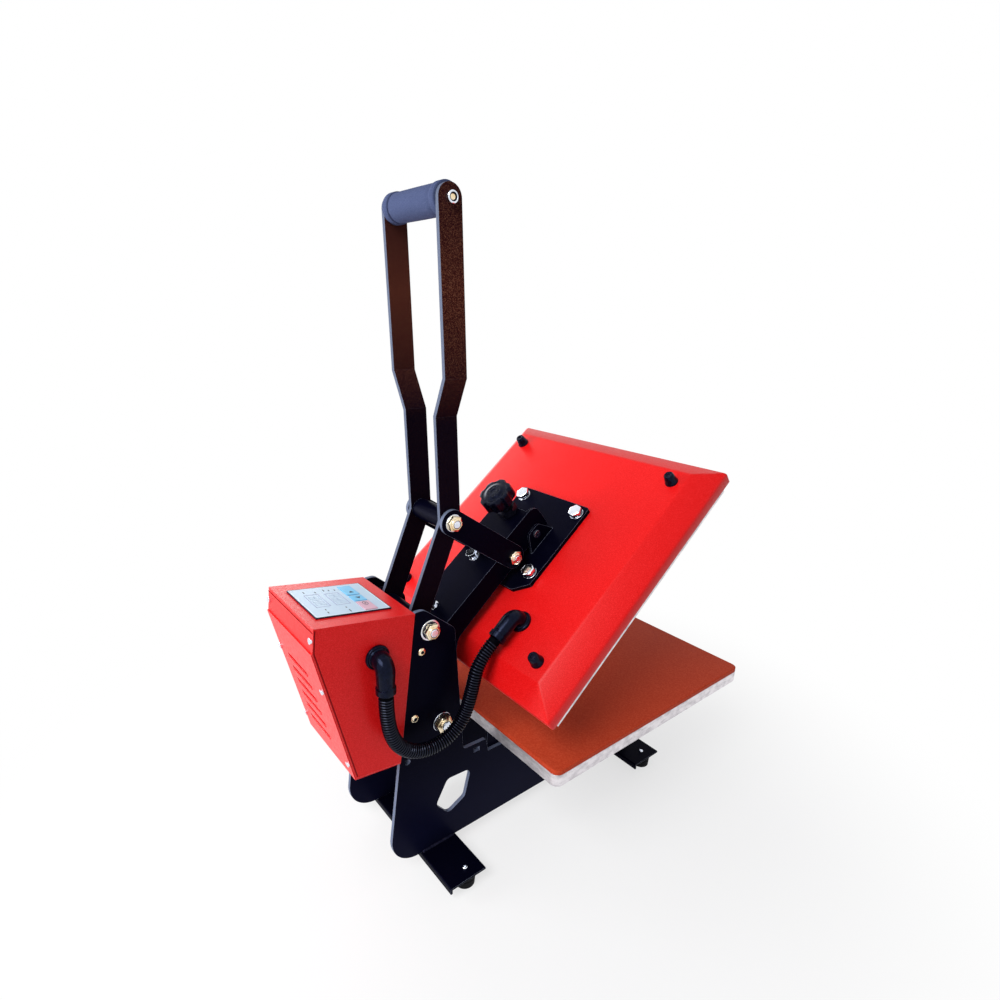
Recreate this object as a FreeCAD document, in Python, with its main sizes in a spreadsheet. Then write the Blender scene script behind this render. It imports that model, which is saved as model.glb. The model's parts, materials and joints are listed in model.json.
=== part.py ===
import FreeCAD, Part
import math
import os
import re
import Sketcher

# Flat heat press with a swing-up upper platen and a long toggle handle.
# Millimetres. Press axes: X across, -Y towards the operator, Z up, with the
# origin at the middle of the silicone pad's top face. Everything that swings
# up with the arm is drawn lowered, with the platens closed, and its placement
# turns it about the arm pivot to the open position.

SIZES = {
    # Lower platen
    "platen_size": 380, "pad_thick": 6.4, "pad_corner": 10, "bed_thick": 15.1,
    # Side plates
    "plate_thick": 5, "plate_gap": 109, "tower_top": 178.3, "tower_back": 297, "leg_back": 335,
    "leg_drop": 158, "leg_front": -110, "leg_round": 38, "ledge_drop": 60, "ledge_back": 186,
    "lug_back": 190, "lug_drop": 34, "tower_front_low": 226.5, "tower_front_high": 241.8,
    "tower_shoulder": 143.5, "tower_top_front": 284, "tower_round": 13,
    "lug_slot_y": 205, "lug_slot_z": -43.3, "lug_slot_width": 6, "lug_slot_length": 9,
    "window_y": 239, "window_z": -92, "window_wide": 46, "window_high": 50, "window_round": 8,
    "plate_round": 6, "plate_ease": 3,
    # Feet
    "foot_wall": 2.5, "foot_lip": 8, "rear_foot_y": 264, "rear_foot_width": 52, "rear_foot_length": 252,
    "front_foot_y": -84, "front_foot_width": 54, "front_foot_length": 241, "rubber_inset": 15,
    "rubber_ahead": 5, "rubber_radius": 14, "rubber_taper": 1.5, "rubber_height": 17.5, "foot_screw": 2.5,
    # Channel that carries the lower platen between the side plates
    "mount_wall": 4, "mount_front": 95, "mount_back": 184, "mount_depth": 74, "mount_bolt": 4,
    "mount_bolt_pitch": 110, "mount_bolt_drop": 80,
    # Stays between the towers
    "stay_radius": 6, "stay_screw": 2.5, "high_stay_y": 287.7, "high_stay_z": 127.3,
    "low_stay_y": 297.8, "low_stay_z": 43.1, "adjuster_y": 307.6, "adjuster_z": -12.8,
    # Pivots and linkage
    "arm_pivot_y": 260, "arm_pivot_z": 23.5, "arm_bolt": 8, "open_angle": 39.57,
    "crank_pivot_y": 276.9, "crank_pivot_z": 151.9, "crank_bolt": 7, "crank_length": 122.3,
    "crank_angle": 111.6, "lift_pin_y": 51, "lift_pin_z": 82, "lift_pin": 6, "link_width": 31,
    "link_thick": 5, "sleeve_wall": 4, "washer_radius": 12.5, "washer_thick": 2,
    # Handle
    "bar_thick": 5, "bar_width": 28, "bar_inner": 29, "bar_splay": 21, "splay_start": 389,
    "splay_rise": 43, "grip_y": 250, "grip_z": 603.5, "cross_tube_radius": 12.5,
    "grip_tube_radius": 11, "foam_radius": 15.5, "foam_collar_radius": 16.5, "foam_collar": 10,
    "grip_bolt": 4, "grip_bolt_head": 6,
    # Arm and press head
    "arm_wall": 3, "arm_outer": 34, "arm_top": 95.8, "arm_front": 68, "arm_back": 200,
    "arm_lug_front": 37.5, "arm_lug_low": 68, "arm_heel_back": 277, "arm_heel_low": 6.5,
    "arm_heel_front": 243, "arm_belly_y": 172, "arm_belly_z": 64, "arm_round": 13, "arm_belly_round": 20,
    "arm_heel_round": 8, "arm_heel_rise": 17, "deck_short": 8, "deck_round": 6,
    "head_top": 105, "head_back": 44, "head_front": -18.5, "head_low": 63, "head_step": 50,
    "head_tail": 70, "head_round": 14, "head_plate": 3.5, "head_ease": 6,
    "stop_rear_y": 161, "stop_front_y": 80, "stop_screw": 4, "stop_nut_high": 5, "stop_thread": 5,
    "stop_below": 14,
    # Pressure screw and knob
    "screw_y": 5, "screw_radius": 8, "screw_low": 84.4, "knob_low": 127, "knob_high": 18,
    "knob_radius": 22.5, "knob_hub": 11, "knob_hub_high": 1.5, "knob_lobes": 7, "knob_scoop": 9,
    "lock_nut_high": 9, "thrust_radius": 11, "thrust_thick": 2.6,
    # Block, pin and bracket that carry the upper platen
    "block_length": 30, "block_low": 64, "block_top": 92, "pin_radius": 5, "pin_z": 72,
    "pin_travel": 6, "ear_wall": 3, "ear_round": 10, "bracket_thick": 6, "bracket_width": 130,
    "bracket_back": 83, "bracket_front": -65, "bracket_cut": 20, "bracket_cut_deep": 17,
    "bracket_bolt": 5, "bracket_bolt_x": 53, "bracket_bolt_back": 52, "bracket_bolt_front": -51,
    # Upper platen
    "platen_rise": 15, "skirt_high": 14.85, "cover_inset": 28.5, "cover_rise": 19.9,
    "cover_wall": 1.5, "heater_inset": 8, "heater_into": 8, "pressing_gap": 0.4,
    "element_radius": 4, "element_reach": 120, "sensor_radius": 3,
    "cap_side_inset": 46.5, "cap_back_inset": 48, "cap_front_inset": 47.5, "cap_radius": 8.5,
    "cap_taper": 2.5, "cap_high": 14, "cap_screw": 3,
    # Elbows and ribbed hose
    "elbow_radius": 10.5, "elbow_tip": 9.4, "elbow_disc": 14, "elbow_disc_thick": 4,
    "box_elbow_y": 345, "box_elbow_z": 142, "box_elbow_out": 18.5, "box_elbow_reach": 36,
    "cover_elbow_x": -87, "cover_elbow_y": 112, "cover_elbow_out": 17, "cover_elbow_reach": 38,
    "hose_radius": 8.5, "hose_root": 7.2, "hose_bore": 5.5, "rib_pitch": 4.4, "hose_straight": 32,
    "hose_a_x": -81, "hose_a_y": 336.8, "hose_a_z": 41, "hose_b_x": -82, "hose_b_y": 317.3,
    "hose_b_z": 20.9, "hose_c_x": -83.5, "hose_c_y": 291.4, "hose_c_z": 13.4, "hose_d_x": -85,
    "hose_d_y": 265.2, "hose_d_z": 20, "hose_e_x": -86, "hose_e_y": 245, "hose_e_z": 39.4,
    "hose_f_x": -87, "hose_f_y": 235, "hose_f_z": 74,
    # Control box
    "box_half": 61.5, "box_wall": 1.5, "box_rear": 415.5, "box_band_low": 168.5, "box_top_rear": 413,
    "box_top_z": 195.5, "heel_spare": 2.5, "box_heel_z": 0, "box_low": -6.5,
    "vent_count": 6, "vent_top": 119, "vent_pitch": 17.9, "vent_high": 4, "vent_length": 54,
    "vent_x": 9, "panel_width": 79, "panel_length": 86, "panel_thick": 1.6, "panel_from": 18.5,
    "panel_hole_margin": 1.5, "key_rise": 0.8, "key_travel": 0.8, "key_gap": 0.3, "key_from": 14.5,
    "key_long": 15, "key_up_x": 20, "key_up_wide": 27, "key_down_x": -4, "key_down_wide": 15,
    "key_set_x": -26, "key_set_wide": 23, "board_thick": 1.6, "board_drop": 9, "post_radius": 2.5,
    "box_screw": 2, "box_screw_head": 3.5, "box_screw_in": 4, "band_screw_z": 182,
    "cover_screw_low": 0.13, "cover_screw_high": 0.72,
    "relay_high": 58, "relay_wide": 45, "relay_deep": 25, "relay_x": -30, "relay_up": 40,
    "supply_high": 44, "supply_wide": 40, "supply_deep": 34, "supply_x": 14, "supply_up": 36,
    "inlet_back": 39.4, "inlet_z": 40, "inlet_wide": 31, "inlet_high": 24, "inlet_deep": 22,
    "inlet_flange": 4, "inlet_lip": 2, "socket_wall": 2.5, "socket_pin": 4, "socket_pin_length": 10,
    "switch_y": 352, "switch_z": 85, "switch_wide": 22, "switch_high": 30, "switch_deep": 18,
    "rocker_wide": 15, "rocker_high": 21, "rocker_thick": 8, "rocker_angle": 10, "axle_radius": 1.5,
    # Clearances
    "fit": 0.05, "side_gap": 0.3, "link_gap": 0.5,
}

doc = FreeCAD.newDocument("FlatHeatPress")
sheet = doc.addObject("Spreadsheet::Sheet", "Sizes")
for row, (alias, number) in enumerate(SIZES.items(), 1):
    sheet.set("A%d" % row, alias)
    sheet.set("B%d" % row, str(number))
    sheet.setAlias("B%d" % row, alias)
doc.recompute()

NODES = []
OWN = {}
X_AXIS = "rotation(vector(0;1;0);90)"
Y_AXIS = "rotation(vector(1;0;0);-90)"
Z_AXIS = "rotation(vector(0;0;1);0)"


def size(alias):
    """A driving size as a number."""
    return float(sheet.get(alias))


def formula(text):
    """A formula in plain aliases, written for the sheet."""
    def address(word):
        return "Sizes." + word[0] if word[0] in SIZES else word[0]

    return re.sub(r"\b[a-z][a-z_]*\b", address, str(text))


def bind(thing, **formulas):
    for name, text in formulas.items():
        thing.setExpression(name, formula(text))
    return thing


def spot(x, y, z, turn=Z_AXIS):
    return "placement(vector(%s;%s;%s);%s)" % (x, y, z, turn)


# The press stands on its rubber feet, with the middle of its footprint at the origin.
PAD_HEIGHT = "(leg_drop + foot_wall + rubber_height)"
HOME = spot(0, "(platen_size / 2 - box_rear - box_wall) / 2", PAD_HEIGHT)
RAISED = HOME + " * placement(vector(0;0;0);rotation(vector(1;0;0);-open_angle);" \
    "vector(0;arm_pivot_y;arm_pivot_z))"


def node(thing, label, pose=HOME):
    """Names one finished sub-part and puts it in its place on the press."""
    own = OWN.get(thing.Name)
    thing.Label = label
    thing.setExpression("Placement", formula(pose + " * " + own if own else pose))
    NODES.append(thing)
    return thing


def place(thing, text):
    OWN[thing.Name] = text
    thing.setExpression("Placement", formula(text))
    return thing


def box(name, corner, length, width, height, turn=Z_AXIS):
    thing = doc.addObject("Part::Box", name)
    bind(thing, Length=length, Width=width, Height=height)
    return place(thing, spot(*corner, turn))


def rod(name, start, radius, length, turn=X_AXIS):
    thing = doc.addObject("Part::Cylinder", name)
    bind(thing, Radius=radius, Height=length)
    return place(thing, spot(*start, turn))


def cone(name, start, radius, end_radius, length, turn=X_AXIS):
    thing = doc.addObject("Part::Cone", name)
    bind(thing, Radius1=radius, Radius2=end_radius, Height=length)
    return place(thing, spot(*start, turn))


def hexagon(name, start, across, length, turn=X_AXIS):
    """A hexagonal prism, sized across its flats."""
    thing = doc.addObject("Part::Prism", name)
    thing.Polygon = 6
    bind(thing, Circumradius="(%s) / sqrt(3)" % across, Height=length)
    return place(thing, spot(*start, turn))


def join(name, parts):
    thing = doc.addObject("Part::MultiFuse", name)
    thing.Shapes = parts
    thing.Refine = True
    return thing


def cut(name, base, tools):
    thing = doc.addObject("Part::Cut", name)
    thing.Base = base
    thing.Tool = tools[0] if len(tools) == 1 else join(name + "_tools", tools)
    return thing


def group(name, parts):
    """Identical loose pieces that share one node."""
    thing = doc.addObject("Part::Compound", name)
    thing.Links = parts
    return thing


def outline(body, name, corners, plane):
    """A closed sketch with a bound coordinate pair at each corner."""
    sketch = body.newObject("Sketcher::SketchObject", name)
    sketch.AttachmentSupport = ([f for f in body.Origin.OriginFeatures if f.Role == plane][0], "")
    sketch.MapMode = "FlatFace"
    count = len(corners)
    step = 2 * math.pi / count
    ring = [FreeCAD.Vector(100 * math.cos(step * i), 100 * math.sin(step * i), 0) for i in range(count)]
    for i in range(count):
        sketch.addGeometry(Part.LineSegment(ring[i], ring[(i + 1) % count]), False)
    for i in range(count):
        sketch.addConstraint(Sketcher.Constraint("Coincident", i, 2, (i + 1) % count, 1))
    for i, corner in enumerate(corners):
        for kind, value, text in zip(("DistanceX", "DistanceY"), (ring[i].x, ring[i].y), corner):
            number = sketch.addConstraint(Sketcher.Constraint(kind, -1, 1, i, 1, value))
            sketch.setExpression("Constraints[%d]" % number, formula(text))
    return sketch


def flat(name, corners, thick, plane="YZ_Plane", rounds=(), holes=(), window=()):
    """A flat piece: a padded outline, rounded at numbered corners, with round holes and one window."""
    body = doc.addObject("PartDesign::Body", name)
    sketch = outline(body, name + "_outline", corners, plane)
    pad = body.newObject("PartDesign::Pad", name + "_pad")
    pad.Profile = sketch
    bind(pad, Length=thick)
    doc.recompute()
    places = [line.StartPoint for line in sketch.Geometry]
    for number, (radius, picked) in enumerate(rounds):
        round_off(body, "%s_round_%d" % (name, number + 1), [places[i] for i in picked], radius, plane)
    if holes:
        pierce(body, name + "_holes", holes, plane)
    if window:
        opening, radius = window
        sketch = outline(body, name + "_window", opening, plane)
        through(body, name + "_window_cut", sketch)
        doc.recompute()
        round_off(body, name + "_window_round", [line.StartPoint for line in sketch.Geometry], radius, plane)
    return body


def round_off(body, name, places, radius, plane):
    """Fillets the edges that stand on the given sketch points."""
    flatten = {"YZ_Plane": lambda p: (p.y, p.z), "XZ_Plane": lambda p: (p.x, p.z),
               "XY_Plane": lambda p: (p.x, p.y)}[plane]
    edges = []
    for number, edge in enumerate(body.Tip.Shape.Edges, 1):
        ends = [flatten(vertex.Point) for vertex in edge.Vertexes]
        if len(ends) == 2 and math.dist(*ends) < 1e-6:
            if any(math.dist(ends[0], (p.x, p.y)) < 1e-4 for p in places):
                edges.append("Edge%d" % number)
    fillet = doc.addObject("PartDesign::Fillet", name)
    base = body.Tip
    body.addObject(fillet)
    fillet.Base = (base, edges)
    bind(fillet, Radius=radius)
    doc.recompute()


def pierce(body, name, holes, plane):
    """Round holes right through, each given by its centre and radius."""
    sketch = body.newObject("Sketcher::SketchObject", name)
    sketch.AttachmentSupport = ([f for f in body.Origin.OriginFeatures if f.Role == plane][0], "")
    sketch.MapMode = "FlatFace"
    for i, hole in enumerate(holes):
        start = FreeCAD.Vector(50 * i, 25, 0)
        sketch.addGeometry(Part.Circle(start, FreeCAD.Vector(0, 0, 1), 5), False)
        for kind, value, text in zip(("DistanceX", "DistanceY"), (start.x, start.y), hole):
            number = sketch.addConstraint(Sketcher.Constraint(kind, -1, 1, i, 3, value))
            sketch.setExpression("Constraints[%d]" % number, formula(text))
        number = sketch.addConstraint(Sketcher.Constraint("Radius", i, 5))
        sketch.setExpression("Constraints[%d]" % number, formula(hole[2]))
    through(body, name + "_cut", sketch)


def through(body, name, sketch):
    """Cuts a sketch right through a body and makes sure that material went."""
    before = body.Shape.Volume
    pocket = body.newObject("PartDesign::Pocket", name)
    pocket.Profile = sketch
    pocket.Type = "ThroughAll"
    pocket.Midplane = True
    doc.recompute()
    if body.Shape.Volume > before - 1:
        raise RuntimeError(name + " cut nothing")


def screw(name, face, radius, head_radius, head_high, length, turn):
    """A cap screw whose head sits on the face point and whose shank runs the other way."""
    head = rod(name + "_head", face, head_radius, head_high, turn)
    shank = doc.addObject("Part::Cylinder", name + "_shank")
    bind(shank, Radius=radius, Height=length)
    place(shank, spot(*face, turn) + " * " + spot(0, 0, "-(%s)" % length))
    return join(name, [head, shank])


# Side plates: each is a tower with a lug, a slotted ledge under the platen and a long foot.
LEAN = "((leg_back - tower_back) / (tower_top + leg_drop))"
PLATE_IN = "(plate_gap / 2)"


def side_plate(label, x):
    corners = [("tower_back", "tower_top"), ("leg_back", "-leg_drop"), ("leg_front", "-leg_drop"),
               ("leg_front", "-ledge_drop"), ("ledge_back", "-ledge_drop + 6"), ("lug_back", "-lug_drop"),
               ("tower_front_low", "-lug_drop + 1"), ("tower_front_high", "tower_shoulder"),
               ("tower_top_front", "tower_top")]
    window = [("window_y - window_wide * 0.55", "window_z + window_high * 0.48"),
              ("window_y + window_wide * 0.25", "window_z + window_high * 0.52"),
              ("window_y + window_wide * 0.62", "window_z - window_high * 0.1"),
              ("window_y + window_wide * 0.2", "window_z - window_high * 0.55"),
              ("window_y - window_wide * 0.35", "window_z - window_high * 0.3")]
    holes = [("crank_pivot_y", "crank_pivot_z", "crank_bolt + fit"),
             ("arm_pivot_y", "arm_pivot_z", "arm_bolt + fit"),
             ("high_stay_y", "high_stay_z", "stay_screw + fit"),
             ("low_stay_y", "low_stay_z", "stay_screw + fit"),
             ("adjuster_y", "adjuster_z", "stay_screw + 1"),
             ("mount_bolt_pitch / 2", "-mount_bolt_drop", "mount_bolt + fit"),
             ("-mount_bolt_pitch / 2", "-mount_bolt_drop", "mount_bolt + fit")]
    body = flat(label + "_blank", corners, "plate_thick",
                rounds=[("leg_round", [1]), ("tower_round", [7, 8]), ("plate_round", [3, 6]),
                        ("plate_ease", [0, 5])],
                holes=holes, window=(window, "window_round"))
    place(body, spot(x, 0, 0))
    slot_corner = (x + " - 1", "lug_slot_y - lug_slot_length / 2", "lug_slot_z - lug_slot_width / 2")
    slot = box(label + "_slot", slot_corner, "plate_thick + 2", "lug_slot_length", "lug_slot_width")
    return node(cut(label, body, [slot]), label)


side_plate("side_plate_left", "-" + PLATE_IN + " - plate_thick")
side_plate("side_plate_right", PLATE_IN)


# Plates under the side plates, each with a lip folded down behind, and screwed rubber feet
def foot(name, y, width, length):
    half = "%s / 2" % width
    corners = [("%s - %s" % (y, half), "-leg_drop"), ("%s + %s" % (y, half), "-leg_drop"),
               ("%s + %s" % (y, half), "-leg_drop - foot_lip"),
               ("%s + %s - foot_wall" % (y, half), "-leg_drop - foot_lip"),
               ("%s + %s - foot_wall" % (y, half), "-leg_drop - foot_wall"),
               ("%s - %s" % (y, half), "-leg_drop - foot_wall")]
    body = flat(name + "_fold", corners, length, rounds=[("foot_wall * 0.8", [1])])
    place(body, spot("-%s / 2" % length, 0, 0))
    hole_y = y + " - rubber_ahead"
    holes = [rod("%s_hole_%d" % (name, i), (x, hole_y, "-leg_drop - foot_lip"), "foot_screw + fit",
                 "foot_lip * 2", Z_AXIS) for i, x in enumerate(foot_spots(length))]
    return node(cut(name, body, holes), name)


def foot_spots(length):
    return ["-%s / 2 + rubber_inset" % length, "%s / 2 - rubber_inset" % length]


FEET = [("rear_foot_channel", "rear_foot_y", "rear_foot_width", "rear_foot_length"),
        ("front_foot_channel", "front_foot_y", "front_foot_width", "front_foot_length")]
rubbers = []
foot_screws = []
for channel, foot_y, foot_width, foot_length in FEET:
    foot(channel, foot_y, foot_width, foot_length)
    for foot_x in foot_spots(foot_length):
        tag = "%d" % (len(rubbers) + 1)
        rubber_y = foot_y + " - rubber_ahead"
        bumper = cone("bumper_" + tag, (foot_x, rubber_y, "-leg_drop - foot_wall - rubber_height"),
                      "rubber_radius - rubber_taper", "rubber_radius", "rubber_height", Z_AXIS)
        bore = rod("bumper_bore_" + tag, (foot_x, rubber_y, "-leg_drop - foot_wall - rubber_height * 0.7"),
                   "foot_screw + fit", "rubber_height", Z_AXIS)
        rubbers.append(cut("rubber_" + tag, bumper, [bore]))
        foot_screws.append(screw("foot_screw_" + tag, (foot_x, rubber_y, "-leg_drop"), "foot_screw",
                                 "foot_screw * 1.3", "foot_screw", "foot_wall + rubber_height * 0.6", Z_AXIS))
node(group("rubber_feet", rubbers), "rubber_feet")

# Lower platen: an aluminium bed under a silicone pad, on a folded channel
PLATEN_HALF = "platen_size / 2"
SQUARE = [("-" + PLATEN_HALF, "-" + PLATEN_HALF), (PLATEN_HALF, "-" + PLATEN_HALF),
          (PLATEN_HALF, PLATEN_HALF), ("-" + PLATEN_HALF, PLATEN_HALF)]
silicone = flat("pad_sheet", SQUARE, "pad_thick", "XY_Plane", rounds=[("pad_corner", [0, 1, 2, 3])])
node(place(silicone, spot(0, 0, "-pad_thick")), "silicone_pad")
bed = flat("bed_block", SQUARE, "bed_thick", "XY_Plane", rounds=[("pad_corner", [0, 1, 2, 3])])
node(place(bed, spot(0, 0, "-pad_thick - bed_thick")), "bed_plate")

BED_UNDER = "(-pad_thick - bed_thick)"
channel = box("mount_outer", ("-" + PLATE_IN, "-mount_front", BED_UNDER + " - mount_depth"),
              "plate_gap", "mount_front + mount_back", "mount_depth")
hollow_corner = ("-%s + mount_wall" % PLATE_IN, "-2 * mount_front", BED_UNDER + " - mount_depth - mount_wall")
hollow = box("mount_inner", hollow_corner, "plate_gap - 2 * mount_wall", "2 * (mount_front + mount_back)",
             "mount_depth")
mount_holes = [rod("mount_hole_%d" % i, ("-plate_gap", y, "-mount_bolt_drop"), "mount_bolt + fit",
                   "2 * plate_gap")
               for i, y in enumerate(("mount_bolt_pitch / 2", "-mount_bolt_pitch / 2"))]
node(cut("platen_mount", channel, [hollow] + mount_holes), "platen_mount")


def bolt_pair(name, y, z, radius, grip):
    """Two short bolts, one through each side plate, heads outside."""
    pair = []
    for side, face, turn in (("left", "-%s - plate_thick" % PLATE_IN, "rotation(vector(0;1;0);-90)"),
                             ("right", "%s + plate_thick" % PLATE_IN, X_AXIS)):
        head = hexagon("%s_%s_head" % (name, side), (face, y, z), "%s * 3.2" % radius, "%s * 1.3" % radius,
                       turn)
        shank = doc.addObject("Part::Cylinder", "%s_%s_shank" % (name, side))
        bind(shank, Radius=radius, Height=grip)
        place(shank, spot(face, y, z, turn) + " * " + spot(0, 0, "-(%s)" % grip))
        pair.append(join("%s_%s" % (name, side), [head, shank]))
    return pair


mount_bolts = bolt_pair("mount_bolt_front", "-mount_bolt_pitch / 2", "-mount_bolt_drop", "mount_bolt",
                        "plate_thick + mount_wall + 5")
mount_bolts += bolt_pair("mount_bolt_rear", "mount_bolt_pitch / 2", "-mount_bolt_drop", "mount_bolt",
                         "plate_thick + mount_wall + 5")
node(group("mount_bolts", mount_bolts), "mount_bolts")

# Stay tubes that hold the towers apart, with a small screw in each end
stays = []
stay_screws = []
for tag, stay_y, stay_z in (("high", "high_stay_y", "high_stay_z"), ("low", "low_stay_y", "low_stay_z")):
    tube = rod("stay_tube_" + tag, ("-" + PLATE_IN, stay_y, stay_z), "stay_radius", "plate_gap")
    bore = rod("stay_bore_" + tag, ("-" + PLATE_IN, stay_y, stay_z), "stay_screw + fit", "plate_gap")
    stays.append(cut("stay_" + tag, tube, [bore]))
    for side, face, turn in (("left", "-%s - plate_thick" % PLATE_IN, "rotation(vector(0;1;0);-90)"),
                             ("right", "%s + plate_thick" % PLATE_IN, X_AXIS)):
        stay_screws.append(screw("stay_screw_%s_%s" % (tag, side), (face, stay_y, stay_z), "stay_screw",
                                 "stay_screw * 2", "stay_screw", "plate_thick + 14", turn))
node(group("tower_stays", stays), "tower_stays")
node(group("frame_screws", stay_screws + foot_screws), "frame_screws")


# Pivot bolts right across both towers, with washers, lock nuts and spacer sleeves
def pivot(name, y, z, radius):
    reach = "%s + plate_thick + washer_thick" % PLATE_IN
    shank = rod(name + "_shank", ("-(%s) - %s * 1.6" % (reach, radius), y, z), radius,
                "2 * (%s) + %s * 1.6" % (reach, radius))
    head = hexagon(name + "_head", (reach, y, z), "%s * 2.6" % radius, "%s * 1.1" % radius)
    node(join(name + "_bolt", [shank, head]), name + "_bolt")
    washers = []
    for side, start in (("left", "-%s - plate_thick - washer_thick" % PLATE_IN),
                        ("right", PLATE_IN + " + plate_thick")):
        disc = rod("%s_washer_%s" % (name, side), (start, y, z), "washer_radius", "washer_thick")
        hole = rod("%s_washer_hole_%s" % (name, side), (start, y, z), "%s + fit" % radius, "washer_thick")
        washers.append(cut("%s_ring_%s" % (name, side), disc, [hole]))
    nut = hexagon(name + "_nut_hex", ("-(%s) - %s" % (reach, radius), y, z), "%s * 2.6" % radius, radius)
    crown = cone(name + "_nut_crown", ("-(%s) - %s * 1.45" % (reach, radius), y, z), "%s * 1.05" % radius,
                 "%s * 1.28" % radius, "%s * 0.45" % radius)
    thread = rod(name + "_nut_bore", ("-2 * (%s)" % reach, y, z), "%s + fit" % radius, "2 * (%s)" % reach)
    nut = cut(name + "_nut", join(name + "_nut_whole", [nut, crown]), [thread])
    return washers, nut


def sleeve(name, x, y, z, radius, length):
    tube = rod(name + "_tube", (x, y, z), "%s + sleeve_wall" % radius, length)
    bore = rod(name + "_tube_bore", (x, y, z), "%s + fit" % radius, length)
    return cut(name, tube, [bore])


SLEEVE_LENGTH = "(%s - arm_outer - side_gap)" % PLATE_IN
pivot_washers = []
pivot_nuts = []
pivot_sleeves = []
for tag, pivot_y, pivot_z, bolt in (("crank", "crank_pivot_y", "crank_pivot_z", "crank_bolt"),
                                    ("arm", "arm_pivot_y", "arm_pivot_z", "arm_bolt")):
    discs, lock = pivot(tag + "_pivot", pivot_y, pivot_z, bolt)
    pivot_washers += discs
    pivot_nuts.append(lock)
    for side, start in (("left", "-" + PLATE_IN), ("right", "arm_outer + side_gap")):
        pivot_sleeves.append(sleeve("%s_sleeve_%s" % (tag, side), start, pivot_y, pivot_z, bolt,
                                    SLEEVE_LENGTH))
node(group("pivot_nuts", pivot_washers + pivot_nuts), "pivot_nuts")
node(group("pivot_sleeves", pivot_sleeves), "pivot_sleeves")

# Handle: two flat bars that splay out above the linkage and carry a foam grip
KNEE_Y = "(crank_pivot_y + crank_length * cos(crank_angle))"
KNEE_Z = "(crank_pivot_z + crank_length * sin(crank_angle))"
BAR_LEAN = "atan2(grip_z - %s; grip_y - %s)" % (KNEE_Z, KNEE_Y)
BAR_UPPER = "sqrt((grip_z - %s)^2 + (grip_y - %s)^2)" % (KNEE_Z, KNEE_Y)
SPLAY_SHIFT = "(bar_thick * tan(atan(bar_splay / splay_rise) / 2))"
BAR_OUTER = "(bar_inner + bar_thick)"


def strip(name, y, z, length, angle, width, across):
    """A flat strip with round ends, from one pivot point to the next, as wide in X as asked."""
    turn = "rotation(vector(1;0;0);%s)" % angle
    slab = doc.addObject("Part::Box", name + "_slab")
    bind(slab, Length=across, Width=length, Height=width)
    place(slab, spot(0, y, z, turn) + " * " + spot("-(%s) / 2" % across, 0, "-(%s) / 2" % width))
    ends = []
    for i, along in enumerate(("0", length)):
        end = doc.addObject("Part::Cylinder", "%s_end_%d" % (name, i))
        bind(end, Radius="(%s) / 2" % width, Height=across)
        place(end, spot(0, y, z, turn) + " * " + spot("-(%s) / 2" % across, along, 0, X_AXIS))
        ends.append(end)
    return [slab] + ends


def handle_bar(label, side):
    """The side outline of the bar, met by the bent strip that the front view shows."""
    across = "4 * (bar_inner + bar_splay + bar_thick)"
    lower = strip(label + "_lower", "crank_pivot_y", "crank_pivot_z", "crank_length", "crank_angle",
                  "bar_width", across)
    upper = strip(label + "_upper", KNEE_Y, KNEE_Z, BAR_UPPER, BAR_LEAN, "bar_width", across)
    profile = join(label + "_profile", lower + upper)
    top = "grip_z + bar_width"
    low = "crank_pivot_z - bar_width"
    inner = [("bar_inner", low), ("bar_inner", "splay_start"),
             ("bar_inner + bar_splay", "splay_start + splay_rise"), ("bar_inner + bar_splay", top)]
    outer = [(x + " + bar_thick", z if z in (low, top) else z + " - " + SPLAY_SHIFT) for x, z in inner]
    corners = [("%d * (%s)" % (side, x), z) for x, z in inner + outer[::-1]]
    bent = flat(label + "_bend", corners, "8 * bar_width", "XZ_Plane")
    place(bent, spot(0, "grip_y + 4 * bar_width", 0))
    common = doc.addObject("Part::MultiCommon", label + "_blank")
    common.Shapes = [profile, bent]
    reach = "bar_inner + bar_splay + bar_thick"
    holes = [rod("%s_%s_hole" % (label, tag), ("-(%s)" % reach, y, z), radius + " + fit", "2 * (%s)" % reach)
             for tag, y, z, radius in (("pivot", "crank_pivot_y", "crank_pivot_z", "crank_bolt"),
                                       ("knee", KNEE_Y, KNEE_Z, "lift_pin"),
                                       ("grip", "grip_y", "grip_z", "grip_bolt"))]
    return node(cut(label, common, holes), label)


handle_bar("handle_bar_left", -1)
handle_bar("handle_bar_right", 1)

pivot_tube = rod("crank_tube_solid", ("-bar_inner", "crank_pivot_y", "crank_pivot_z"),
                 "crank_bolt + sleeve_wall",
                 "2 * bar_inner")
pivot_tube_bore = rod("crank_tube_bore", ("-bar_inner", "crank_pivot_y", "crank_pivot_z"), "crank_bolt + fit",
                      "2 * bar_inner")
node(cut("handle_pivot_tube", pivot_tube, [pivot_tube_bore]), "handle_pivot_tube")
knee_tube = rod("knee_tube_solid", ("-bar_inner", KNEE_Y, KNEE_Z), "cross_tube_radius", "2 * bar_inner")
knee_bore = rod("knee_tube_bore", ("-bar_inner", KNEE_Y, KNEE_Z), "lift_pin + fit", "2 * bar_inner")
node(cut("cross_tube", knee_tube, [knee_bore]), "cross_tube")

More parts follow.
